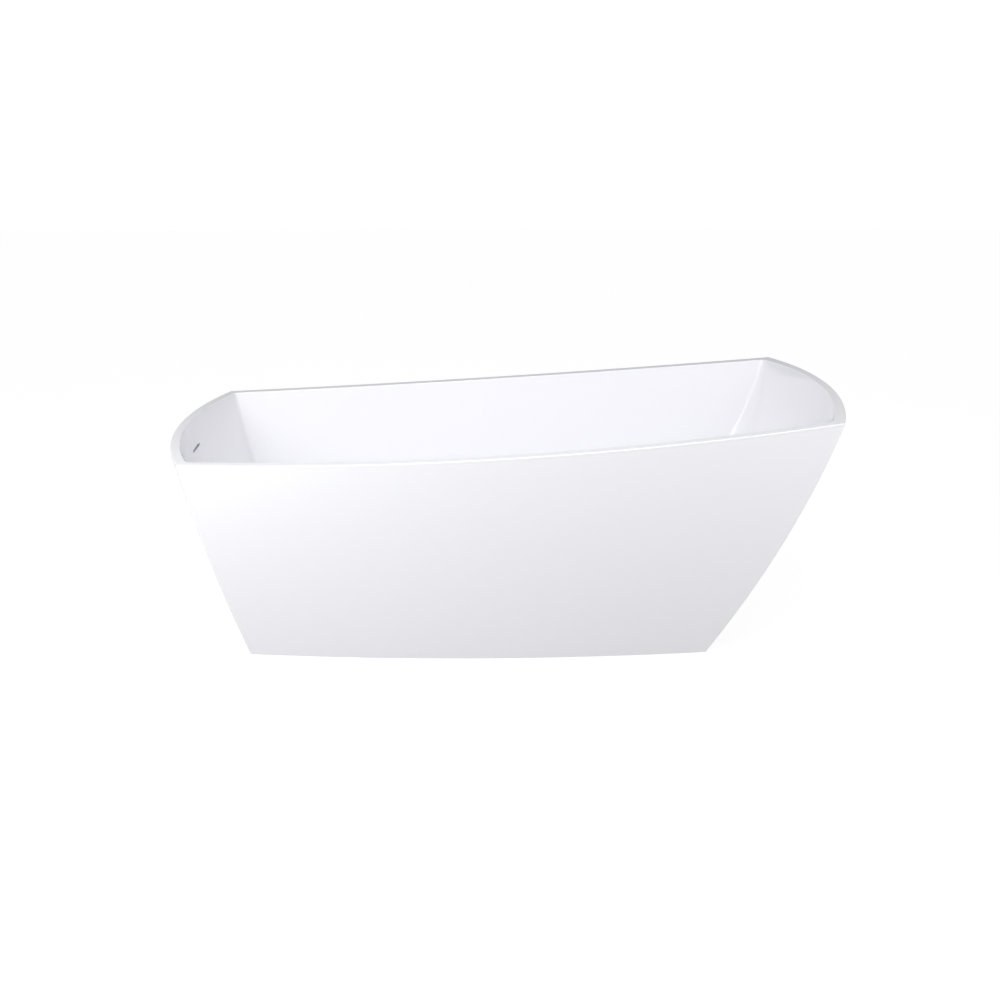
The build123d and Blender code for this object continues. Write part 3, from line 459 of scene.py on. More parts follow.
def cut_out(blank: Object, cutter: Mesh, name: str, finishes: Sequence[Finish],
            sharp: float = SHARP) -> Object:
    """Take the volume of a cutter out of an object.

    Args:
        blank: what is cut.
        cutter: a closed mesh.
        name: the cut piece's name.
        finishes: its finishes.
        sharp: angle of crisp edges, in degrees.

    Returns:
        The cut piece, as a plain one.
    """
    knife = placed(cutter.name, cutter)
    cut = blank.modifiers.new("cut", "BOOLEAN")
    cut.object, cut.operation, cut.solver = knife, "DIFFERENCE", "EXACT"
    made = settled(blank, name, finishes, sharp)
    bpy.data.objects.remove(knife)
    return made


def mesh_of(name: str, points: np.ndarray, faces: Sequence[Sequence[int]],
            kinds: Optional[Sequence[int]] = None) -> Mesh:
    """Mesh from points in millimetres.

    Args:
        name: the mesh's name.
        points: rows of x, y and z.
        faces: point numbers of each face.
        kinds: a material index for each face.

    Returns:
        The mesh, in metres.
    """
    mesh = bpy.data.meshes.new(name)
    mesh.from_pydata([tuple(p) for p in points * MM], [], faces)
    if kinds is not None:
        mesh.polygons.foreach_set("material_index", list(kinds))
    mesh.update()
    return mesh


def ring_mesh(name: str, rows: Sequence[np.ndarray], kinds: Sequence[int]) -> Mesh:
    """Skin a closed stack of closed rows, so that the last row joins the first.

    Args:
        name: the mesh's name.
        rows: each row's points, all of one length, running the same way round.
        kinds: the material index of the band above each row.

    Returns:
        The mesh, its faces pointing outwards.
    """
    count = len(rows[0])
    faces, indices = [], []
    for row in range(len(rows)):
        low, high = row * count, (row + 1) % len(rows) * count
        for i in range(count):
            j = (i + 1) % count
            faces.append((low + i, high + i, high + j, low + j))
            indices.append(kinds[row])
    return mesh_of(name, np.concatenate(rows), faces, indices)


def prism(name: str, start: Sequence[Triple], end: Sequence[Triple]) -> Mesh:
    """Closed mesh between two loops of one length, which run counter-clockwise seen from beyond the end."""
    count = len(start)
    faces = [tuple(range(count - 1, -1, -1)), tuple(range(count, 2 * count))]
    faces += [(i, (i + 1) % count, (i + 1) % count + count, i + count) for i in range(count)]
    return mesh_of(name, np.array([*start, *end]), faces)


def lathe(name: str, profile: Sequence[Pair], centre: Pair, steps: int = 96) -> Mesh:
    """Spin a closed profile of radius and height round an upright axis.

    Args:
        name: the mesh's name.
        profile: radius and height pairs in millimetres, counter-clockwise with the radius to the right.
        centre: x and y of the axis, in millimetres.
        steps: facets round the axis.

    Returns:
        A closed mesh. Points on the axis become one pole each.
    """
    angles = np.arange(steps) * 2 * math.pi / steps
    points: list[Triple] = []
    rings: list[list[int]] = []
    for radius, height in profile:
        if radius <= 0:
            rings.append([len(points)] * steps)
            points.append((centre[0], centre[1], height))
        else:
            rings.append([len(points) + i for i in range(steps)])
            points += [
                (centre[0] + radius * math.cos(a), centre[1] + radius * math.sin(a), height) for a in angles
            ]
    faces = []
    for ring, after in zip(rings, rings[1:] + rings[:1]):
        for i in range(steps):
            j = (i + 1) % steps
            corners = list(dict.fromkeys((ring[i], ring[j], after[j], after[i])))
            if len(corners) > 2:
                faces.append(corners)
    return mesh_of(name, np.array(points), faces)


def eased(profile: Sequence[Pair], radii: Sequence[float], steps: int = 4) -> list[Pair]:
    """Round the corners of a closed profile.

    Args:
        profile: corners, as radius and height.
        radii: how much each corner is eased, 0 for a sharp one.
        steps: segments in each round.

    Returns:
        The profile with a curve at each eased corner.
    """
    made: list[Pair] = []
    for number, (corner, radius) in enumerate(zip(profile, radii)):
        if radius <= 0:
            made.append(corner)
            continue
        here = np.array(corner)
        before = np.array(profile[number - 1]) - here
        after = np.array(profile[(number + 1) % len(profile)]) - here
        start = here + before / np.linalg.norm(before) * radius
        end = here + after / np.linalg.norm(after) * radius
        for t in np.linspace(0, 1, steps + 1):
            point = (1 - t) ** 2 * start + 2 * t * (1 - t) * here + t * t * end
            made.append((float(point[0]), float(point[1])))
    return made


def welded_copy(node: str) -> bmesh.types.BMesh:
    """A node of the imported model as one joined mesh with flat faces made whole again."""
    made = bmesh.new()
    made.from_mesh(frame["nodes"][node].data)
    bmesh.ops.remove_doubles(made, verts=made.verts, dist=JOINED)
    bmesh.ops.dissolve_limit(made, angle_limit=math.radians(FLAT), verts=made.verts, edges=made.edges)
    return made


def islands(node: str) -> list[tuple[np.ndarray, np.ndarray]]:
    """Boxes of the separate solids in a node, in millimetres, as lowest and highest corners."""
    made = welded_copy(node)
    left = set(made.verts)
    boxes = []
    while left:
        found, edge = set(), [left.pop()]
        while edge:
            vert = edge.pop()
            found.add(vert)
            near = {link.other_vert(vert) for link in vert.link_edges} & left
            left -= near
            edge += near
        points = np.array([vert.co[:] for vert in found]) / MM
        boxes.append((points.min(axis=0), points.max(axis=0)))
    made.free()
    return sorted(boxes, key=lambda box: tuple(np.round(box[0], 1)))


def box_of(node: str) -> tuple[np.ndarray, np.ndarray]:
    """Lowest and highest corner of a node, in millimetres."""
    low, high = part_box(node)
    return np.array(low[:]) / MM, np.array(high[:]) / MM


def centre_of(node: str) -> Pair:
    """Middle of a node seen from above, in millimetres."""
    low, high = box_of(node)
    return float((low[0] + high[0]) / 2), float((low[1] + high[1]) / 2)


def softened(node: str, edge_mm: float, sharp: float = SHARP) -> Object:
    """Stand in for a node with a copy whose sharp edges are rounded over.

    Args:
        node: the node's name.
        edge_mm: width of the rounding.
        sharp: angle in degrees above which an edge is rounded.

    Returns:
        The piece, riding with the node's body.
    """
    joined = welded_copy(node)
    mesh = bpy.data.meshes.new(node + "_soft")
    joined.to_mesh(mesh)
    joined.free()
    source = placed(node + "_blank", mesh)
    round_over = source.modifiers.new("round_over", "BEVEL")
    round_over.width, round_over.segments = edge_mm * MM, 2
    round_over.limit_method, round_over.angle_limit = "ANGLE", math.radians(sharp)
    round_over.use_clamp_overlap = True
    made = settled(source, node + "_finished", (SLOT_FINISHES[SLOTS[node]],), 50.0)
    return stands_for(made, node)


def shaped(node: str, making: str, mesh: Mesh, sharp: float = 40.0) -> Object:
    """Stand in for a node with a mesh in the node's own finish.

    Args:
        node: the node's name.
        making: how the piece is made, which ends its name.
        mesh: the piece's mesh.
        sharp: angle of crisp edges, in degrees.

    Returns:
        The piece, riding with the node's body.
    """
    return stands_for(piece_from(f"{node}_{making}", mesh, (SLOT_FINISHES[SLOTS[node]],), sharp), node)


def stands_for(made: Object, *nodes: str) -> Object:
    """Let a piece ride with the body of the nodes that it replaces, and hide those nodes."""
    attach(made, BODIES[nodes[0]])
    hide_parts(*nodes)
    log.info("%s: %d faces for %s", made.name, len(made.data.polygons), ", ".join(nodes))
    return made


def goes_with(made: Object, node: str) -> Object:
    """Let an extra piece ride with a node's body."""
    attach(made, BODIES[node])
    log.info("%s: %d faces beside %s", made.name, len(made.data.polygons), node)
    return made


# ------------------------------------------------------------------ node-made helpers
SOCKET_KINDS = {
    float: "NodeSocketFloat", int: "NodeSocketInt", tuple: "NodeSocketVector",
    Object: "NodeSocketObject", Material: "NodeSocketMaterial",
}


@dataclass
class NodeTool:
    """A Geometry Nodes tree with named inputs, run on a mesh and turned into a plain piece."""

    name: str
    tree: NodeTree = field(init=False)
    entry: Node = field(init=False)

    def __post_init__(self) -> None:
        """Start the tree with its geometry sockets."""
        self.tree = bpy.data.node_groups.new(self.name, "GeometryNodeTree")
        self.tree.interface.new_socket("Geometry", in_out="INPUT", socket_type="NodeSocketGeometry")
        self.tree.interface.new_socket("Geometry", in_out="OUTPUT", socket_type="NodeSocketGeometry")
        self.entry = self.tree.nodes.new("NodeGroupInput")

    def take(self, name: str, kind: type) -> NodeSocket:
        """Add a named input and hand back its socket inside the tree."""
        self.tree.interface.new_socket(name, in_out="INPUT", socket_type=SOCKET_KINDS[kind])
        return self.entry.outputs[name]

    def close(self, geometry: NodeSocket, material: NodeSocket) -> None:
        """End the tree in smooth, real geometry with its material."""
        real = add_node(self.tree, "GeometryNodeRealizeInstances", Geometry=geometry)
        smooth = add_node(self.tree, "GeometryNodeSetShadeSmooth", Geometry=real.outputs["Geometry"])
        dressed = add_node(
            self.tree, "GeometryNodeSetMaterial", Geometry=smooth.outputs["Geometry"], Material=material
        )
        add_node(self.tree, "NodeGroupOutput", Geometry=dressed.outputs["Geometry"])

    def run(self, name: str, mesh: Mesh, finish: Finish, sharp: float = 40.0, **values) -> Object:
        """Run the tool on a mesh.

        Args:
            name: the new piece's name.
            mesh: what the tool works on.
            finish: the piece's finish.
            sharp: angle of crisp edges, in degrees.
            **values: the tool's inputs by name, with _ for spaces.

        Returns:
            The plain piece.
        """
        source = placed(name + "_blank", mesh)
        step = source.modifiers.new(self.name, "NODES")
        step.node_group = self.tree
        given = {key.replace("_", " "): value for key, value in values.items()}
        given["Finish"] = finish.material()
        for socket in self.tree.interface.items_tree:
            if socket.in_out == "INPUT" and socket.name in given:
                step[socket.identifier] = given[socket.name]
        return settled(source, name, (finish,), sharp)


def thread_tool() -> NodeTool:
    """Ridge of a screw thread: a thin profile swept up a helix round an upright axis."""
    tool = NodeTool("thread")
    centre, radius = tool.take("Centre", tuple), tool.take("Radius", float)
    ridge, turns = tool.take("Ridge", float), tool.take("Turns", float)
    height, finish = tool.take("Height", float), tool.take("Finish", Material)
    helix = add_node(
        tool.tree, "GeometryNodeCurveSpiral", Resolution=28, Rotations=turns,
        Start_Radius=radius, End_Radius=radius, Height=height,
    )
    upright = add_node(
        tool.tree, "GeometryNodeSetCurveNormal", {"mode": "Z_UP"}, Curve=helix.outputs["Curve"]
    )
    profile = add_node(tool.tree, "GeometryNodeCurvePrimitiveCircle", Resolution=6, Radius=ridge)
    swept = add_node(
        tool.tree, "GeometryNodeCurveToMesh", Curve=upright.outputs["Curve"],
        Profile_Curve=profile.outputs["Curve"], Fill_Caps=True,
    )
    moved = add_node(tool.tree, "GeometryNodeTransform", Geometry=swept.outputs["Mesh"], Translation=centre)
    tool.close(moved.outputs["Geometry"], finish)
    return tool


def scatter_tool() -> NodeTool:
    """Copies of one template, each set on a point and turned to the point's own axis and spin."""
    tool = NodeTool("scatter")
    template, seed = tool.take("Template", Object), tool.take("Seed", int)
    finish = tool.take("Finish", Material)
    axis = add_node(
        tool.tree, "GeometryNodeInputNamedAttribute", {"data_type": "FLOAT_VECTOR"}, Name="axis"
    ).outputs["Attribute"]
    facing = add_node(tool.tree, "FunctionNodeAlignRotationToVector", {"axis": "Z"}, Vector=axis)
    spin = add_node(
        tool.tree, "FunctionNodeRandomValue", {"data_type": "FLOAT"}, i2=0.0, i3=math.pi / 2, Seed=seed
    )
    about = add_node(
        tool.tree, "FunctionNodeAxisAngleToRotation", Axis=(0.0, 0.0, 1.0), Angle=spin.outputs[1]
    )
    turned = add_node(
        tool.tree, "FunctionNodeRotateRotation", {"rotation_space": "LOCAL"},
        Rotation=facing.outputs["Rotation"], Rotate_By=about.outputs["Rotation"],
    )
    shape = add_node(tool.tree, "GeometryNodeObjectInfo", Object=template)
    copies = add_node(
        tool.tree, "GeometryNodeInstanceOnPoints", Points=tool.entry.outputs["Geometry"],
        Instance=shape.outputs["Geometry"], Rotation=turned.outputs["Rotation"],
    )
    tool.close(copies.outputs["Instances"], finish)
    return tool


def bead_tool() -> NodeTool:
    """Bead of weld metal or paste laid along edges, rippled by the hand that laid it."""
    tool = NodeTool("bead")
    width, ripple = tool.take("Width", float), tool.take("Ripple", float)
    unevenness, finish = tool.take("Unevenness", float), tool.take("Finish", Material)
    line = add_node(tool.tree, "GeometryNodeMeshToCurve", Mesh=tool.entry.outputs["Geometry"])
    step = add_node(tool.tree, MATH, {"operation": "DIVIDE"}, i0=ripple, i1=4.0)
    even = add_node(
        tool.tree, "GeometryNodeResampleCurve", {"mode": "LENGTH"}, Curve=line.outputs["Curve"],
        Length=step.outputs[0],
    )
    along = add_node(tool.tree, "GeometryNodeSplineParameter").outputs["Length"]
    phase = add_node(tool.tree, MATH, {"operation": "DIVIDE"}, i0=along, i1=ripple)
    turn = add_node(tool.tree, MATH, {"operation": "MULTIPLY"}, i0=phase.outputs[0], i1=2 * math.pi)
    wave = add_node(tool.tree, MATH, {"operation": "SINE"}, i0=turn.outputs[0])
    wobble = add_node(tool.tree, NOISE, Scale=150.0, Detail=1.0)
    both = add_node(tool.tree, MATH, {"operation": "ADD"}, i0=wave.outputs[0], i1=wobble.outputs["Fac"])
    swell = add_node(
        tool.tree, MATH, {"operation": "MULTIPLY_ADD"}, i0=both.outputs[0], i1=unevenness, i2=1.0
    )
    size = add_node(tool.tree, MATH, {"operation": "MULTIPLY"}, i0=swell.outputs[0], i1=width)
    profile = add_node(tool.tree, "GeometryNodeCurvePrimitiveCircle", Resolution=10, Radius=1.0)
    swept = add_node(
        tool.tree, "GeometryNodeCurveToMesh", Curve=even.outputs["Curve"],
        Profile_Curve=profile.outputs["Curve"], Scale=size.outputs[0], Fill_Caps=True,
    )
    tool.close(swept.outputs["Mesh"], finish)
    return tool


def edges_of(name: str, paths: Sequence[np.ndarray], closed: bool) -> Mesh:
    """Mesh of loose edges that follow paths of points in millimetres."""
    points, edges = np.concatenate(paths), []
    first = 0
    for path in paths:
        last = first + len(path) - 1
        edges += [(i, i + 1) for i in range(first, last)]
        if closed:
            edges.append((last, first))
        first = last + 1
    mesh = bpy.data.meshes.new(name)
    mesh.from_pydata([tuple(p) for p in points * MM], edges, [])
    return mesh


# ------------------------------------------------------------------ the form
@dataclass
class TubForm:
    """The tub's rule of form: bowed four-sided outlines that grow upwards, in millimetres.

    Rows of points run round the tub from the foot end's front corner, and point n of every row
    lies on one line up the wall, so rows can be skinned as they are.
    """

    foot_rim_x: float = 780.0
    head_rim_x: float = 786.5
    foot_base_x: float = 657.5
    head_base_x: float = 527.5
    rim_half: float = 345.8
    base_half: float = 240.0
    foot_rim: float = 553.0
    head_rim: float = 651.0
    rim_dip: float = 19.0
    rim_bows: Triple = (71.3, 62.6, 51.4)
    base_bows: Triple = (33.0, 30.6, 29.4)
    bulges: Pair = (10.5, 28.0)
    rim_widths: Triple = (17.8, 20.7, 25.5)
    floor: float = 140.0
    floor_thickness: float = 8.0
    floor_fall: float = 0.7
    floor_round: float = 80.0
    leans: tuple[float, float, float, float] = (0.18, 0.21, 0.25, 0.22)
    sweeps: Pair = (68.0, 215.0)
    inner_rim_bows: Triple = (65.5, 64.0, 50.8)
    inner_floor_bows: Triple = (42.0, 56.0, 30.0)
    rim_corners: Pair = (13.0, 12.0)
    floor_corners: Pair = (95.0, 190.0)
    drain_x: float = -515.0
    edge_radius: float = 2.2
    least_edge: float = 0.2
    least_corner: float = 0.05
    hug: float = 0.28
    side_steps: int = 96
    end_steps: int = 44
    corner_steps: int = 10
    level_step: float = 3.0
    top: float = 681.0

    def rim(self, x: np.ndarray) -> np.ndarray:
        """Height of the rim's top face along the tub: a long shallow arc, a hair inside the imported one."""
        length = self.foot_rim_x + self.head_rim_x

        def straight(at: float) -> float:
            """Height of the dipped line between the two ends."""
            along = (at + self.foot_rim_x) / length
            level = self.foot_rim + (self.head_rim - self.foot_rim) * along
            return level - 4 * self.rim_dip * along * (1 - along)

        centre, radius = self.circle(*((at, straight(at)) for at in (-length, 0.0, length)))
        return centre[1] - np.sqrt(radius ** 2 - (x - centre[0]) ** 2) - self.hug

    @staticmethod
    def circle(a: Sequence[float], b: Sequence[float], c: Sequence[float]) -> tuple[np.ndarray, float]:
        """Centre and radius of the circle through three points."""
        (ax, ay), (bx, by), (cx, cy) = a, b, c
        twice = 2 * (ax * (by - cy) + bx * (cy - ay) + cx * (ay - by))
        sa, sb, sc = ax * ax + ay * ay, bx * bx + by * by, cx * cx + cy * cy
        centre = np.array([
            (sa * (by - cy) + sb * (cy - ay) + sc * (ay - by)) / twice,
            (sa * (cx - bx) + sb * (ax - cx) + sc * (bx - ax)) / twice,
        ])
        return centre, float(np.hypot(*(centre - np.array(a))))

    @staticmethod
    def corner_centre(c1: np.ndarray, r1: float, c2: np.ndarray, r2: float, near: np.ndarray) -> np.ndarray:
        """Point at distance r1 from c1 and r2 from c2, on the side of near."""
        line = c2 - c1
        gap = float(np.hypot(*line))
        along = (r1 * r1 - r2 * r2 + gap * gap) / (2 * gap)
        off = math.sqrt(max(r1 * r1 - along * along, 0.0))
        middle = c1 + line * along / gap
        across = np.array([-line[1], line[0]]) * off / gap
        return min((middle + across, middle - across), key=lambda p: float(np.hypot(*(p - near))))

    @staticmethod
    def arc(centre: np.ndarray, start: np.ndarray, end: np.ndarray, steps: int) -> np.ndarray:
        """Points of the short arc from start towards end, leaving the end out."""
        first, last = start - centre, end - centre
        a0, a1 = math.atan2(first[1], first[0]), math.atan2(last[1], last[0])
        turn = (a1 - a0 + math.pi) % (2 * math.pi) - math.pi
        angles = a0 + turn * np.arange(steps) / steps
        radius = np.hypot(*first)
        return centre + radius * np.stack([np.cos(angles), np.sin(angles)], axis=1)

    def outline(self, foot: Pair, head: Pair, bows: Sequence[float],
                foot_radius: float, head_radius: float) -> np.ndarray:
        """A four-sided outline with bowed sides and rounded corners.

        Args:
            foot: x and half width of the foot corners.
            head: the same of the head corners.
            bows: outward bows of the foot, the head and the sides.
            foot_radius: corner radius at the foot.
            head_radius: corner radius at the head.

        Returns:
            Points in order, as x and y.
        """
        (fx, fh), (hx, hh) = foot, head
        mx, mh = (fx + hx) / 2, (fh + hh) / 2 + bows[2]
        corners = [np.array(p) for p in ((fx, -fh), (hx, -hh), (hx, hh), (fx, fh))]
        circles = [
            self.circle((fx, -fh), (mx, -mh), (hx, -hh)),
            self.circle((hx, -hh), (hx + bows[1], 0.0), (hx, hh)),
            self.circle((hx, hh), (mx, mh), (fx, fh)),
            self.circle((fx, fh), (fx - bows[0], 0.0), (fx, -fh)),
        ]
        radii = (foot_radius, head_radius, head_radius, foot_radius)
        starts, ends, centres = [None] * 4, [None] * 4, [None] * 4
        for i, corner in enumerate(corners):
            (c1, r1), (c2, r2), r = circles[i - 1], circles[i], max(radii[i], self.least_corner)
            middle = self.corner_centre(c1, r1 - r, c2, r2 - r, corner)
            centres[i] = middle
            ends[i] = c1 + (middle - c1) * r1 / np.hypot(*(middle - c1))
            starts[i] = c2 + (middle - c2) * r2 / np.hypot(*(middle - c2))
        runs = []
        for i, steps in enumerate((self.side_steps, self.end_steps, self.side_steps, self.end_steps)):
            after = (i + 1) % 4
            runs.append(self.arc(circles[i][0], starts[i], ends[after], steps))
            runs.append(self.arc(centres[after], ends[after], starts[after], self.corner_steps))
        return np.concatenate(runs)

    @staticmethod
    def blend(low: Sequence[float], high: Sequence[float], shares: Sequence[float]) -> list[float]:
        """Straight blends between pairs of values."""
        return [a + (b - a) * s for a, b, s in zip(low, high, shares)]

    def skirt_row(self, height: float, inset: float = 0.0) -> np.ndarray:
        """Outline of the outer skin at a height.

        Args:
            height: above the floor that the tub stands on.
            inset: how far the outline is moved inwards, on top of the hair of hug.

        Returns:
            Points in order.
        """
        foot_share, head_share = height / self.foot_rim, height / self.head_rim
        foot_x = self.foot_base_x + (self.foot_rim_x - self.foot_base_x) * foot_share
        foot_x += 4 * self.bulges[0] * foot_share * (1 - foot_share)
        head_x = self.head_base_x + (self.head_rim_x - self.head_base_x) * head_share
        head_x += 4 * self.bulges[1] * head_share * (1 - head_share)
        grown = (self.rim_half - self.base_half) * np.array([foot_share, head_share]) + self.base_half
        shrink = inset + self.hug
        foot = (-foot_x + shrink, grown[0] - shrink)
        head = (head_x - shrink, grown[1] - shrink)
        shares = (foot_share, head_share, height / float(self.rim(np.array(0.0))))
        bows = self.blend(self.base_bows, self.rim_bows, shares)
        radius = max(self.edge_radius - inset, self.least_edge)
        flat = self.outline(foot, head, bows, radius, radius)
        return np.column_stack([flat, np.full(len(flat), height)])

    def basin_row(self, above: float, wall: float = 0.0, tilt: float = 0.0, inset: float = 0.0) -> np.ndarray:
        """Outline of the inner skin on a plane above the floor at the drain.

        Args:
            above: distance above the floor, or above its underside for the back of the skin.
            wall: how far the outline is grown outwards.
            tilt: slope of the plane along the tub, in degrees.
            inset: how far the outline is moved inwards.

        Returns:
            Points in order.
        """
        level = self.floor - (self.floor_thickness if wall else 0.0) + above
        fall = math.tan(math.radians(tilt))
        foot_depth, head_depth = self.foot_rim - self.floor, self.head_rim - self.floor

        def foot_at(height: float) -> Pair:
            """Place and half width of the foot wall's corners at a height."""
            drop = self.foot_rim - height
            run = self.leans[0] * drop + self.sweeps[0] * (drop / foot_depth) * abs(drop / foot_depth)
            half = self.rim_half - self.rim_widths[2] - self.leans[2] * drop
            return -self.foot_rim_x + self.rim_widths[0] + run, half

        def head_at(height: float) -> Pair:
            """Place and half width of the head wall's corners at a height."""
            drop = self.head_rim - height
            run = self.leans[1] * drop + self.sweeps[1] * (drop / head_depth) ** 3
            half = self.rim_half - self.rim_widths[2] - self.leans[3] * drop
            return self.head_rim_x - self.rim_widths[1] - run, half

        foot = foot_at(level + fall * (foot_at(level)[0] - self.drain_x))
        head = head_at(level + fall * (head_at(level)[0] - self.drain_x))
        if above < self.floor_round:
            inset += self.floor_round - math.sqrt(self.floor_round ** 2 - (self.floor_round - above) ** 2)
        grow = wall - inset
        rise = level - self.floor
        shares = (rise / foot_depth, rise / head_depth, rise / (float(self.rim(np.array(0.0))) - self.floor))
        bows = self.blend(self.inner_floor_bows, self.inner_rim_bows, shares)
        foot_share = min(1.0, max(0.0, 1 - shares[0]))
        head_share = min(1.0, max(0.0, 1 - shares[1]))
        foot_radius = self.rim_corners[0] + (self.floor_corners[0] - self.rim_corners[0]) * foot_share ** 3
        gathered = math.sin(head_share * math.pi / 2)
        head_radius = self.rim_corners[1] + (self.floor_corners[1] - self.rim_corners[1]) * gathered
        cosine, sine = math.cos(math.radians(tilt)), math.sin(math.radians(tilt))
        flat = self.outline(
            ((foot[0] - self.drain_x) / cosine - grow, foot[1] + grow),
            ((head[0] - self.drain_x) / cosine + grow, head[1] + grow),
            bows, foot_radius - inset + wall, head_radius - inset + wall,
        )
        return np.column_stack([self.drain_x + flat[:, 0] * cosine, flat[:, 1], level + flat[:, 0] * sine])

    def basin_stack(self, wall: float = 0.0, tilt: float = 0.0, inset: float = 0.0) -> np.ndarray:
        """Rows of the inner skin's straight walls, from the floor rounding to above the rim."""
        levels = np.arange(self.floor_round, self.top - self.floor + self.floor_thickness, self.level_step)
        return np.array([self.basin_row(float(level), wall, tilt, inset) for level in levels])

    def skirt_stack(self, inset: float = 0.0, start: float = 0.0) -> np.ndarray:
        """Rows of the outer skin from a height to above the rim."""
        levels = np.arange(start, self.top, self.level_step)
        return np.array([self.skirt_row(float(level), inset) for level in levels])

    def meeting(self, stack: np.ndarray, drop: float) -> np.ndarray:
        """Where each line up a wall meets a face that lies a drop below the rim's top.

        Args:
            stack: rows up the wall.
            drop: distance below the rim's top face.

        Returns:
            A fractional row number for every line.
        """
        gap = stack[:, :, 2] - (self.rim(stack[:, :, 0]) - drop)
        after = np.argmax(gap > 0, axis=0)
        lines = np.arange(stack.shape[1])
        below, above = gap[after - 1, lines], gap[after, lines]
        return after - 1 + below / (below - above)

    @staticmethod
    def at(stack: np.ndarray, places: np.ndarray) -> np.ndarray:
        """Points on the lines up a wall at fractional row numbers."""
        low = np.clip(np.floor(places).astype(int), 0, len(stack) - 2)
        lines = np.arange(stack.shape[1])
        share = (places - low)[:, None]
        return stack[low, lines] * (1 - share) + stack[low + 1, lines] * share

    def crossing(self, stack: np.ndarray, drop: float = 0.0) -> np.ndarray:
        """Row of points where the lines up a wall meet a face under the rim's top."""
        return self.at(stack, self.meeting(stack, drop))

    def on_rim(self, row: np.ndarray, drop: float = 0.0) -> np.ndarray:
        """A row moved straight up or down onto a face under the rim's top."""
        return np.column_stack([row[:, :2], self.rim(row[:, 0]) - drop])

    def wall(self, stack: np.ndarray, drop: float, shares: Sequence[float]) -> list[np.ndarray]:
        """Rows up a wall from its foot to where it meets a face under the rim's top."""
        end = self.meeting(stack, drop)
        return [self.at(stack, end * share) for share in shares]

    @staticmethod
    def rounded(start: np.ndarray, corner: np.ndarray, end: np.ndarray, steps: int) -> list[np.ndarray]:
        """Rows of a round edge between two faces, with both ends."""
        one, two = start - corner, end - corner
        cosine = (one * two).sum(axis=1) / (np.linalg.norm(one, axis=1) * np.linalg.norm(two, axis=1))
        weight = np.sqrt((1 - cosine) / 2)[:, None]
        rows = []
        for t in np.linspace(0, 1, steps + 1):
            a, b, c = (1 - t) ** 2, 2 * t * (1 - t) * weight, t * t
            rows.append((a * start + b * corner + c * end) / (a + b + c))
        return rows

    def flat_between(self, start: np.ndarray, end: np.ndarray, shares: Sequence[float],
                     drop: float) -> list[np.ndarray]:
        """Rows on the rim's top, or a face parallel to it, between two outlines."""
        return [self.on_rim(start * (1 - share) + end * share, drop) for share in shares]


# Shares of the way up a wall, in even steps.
EVEN = [i / 24 for i in range(25)]


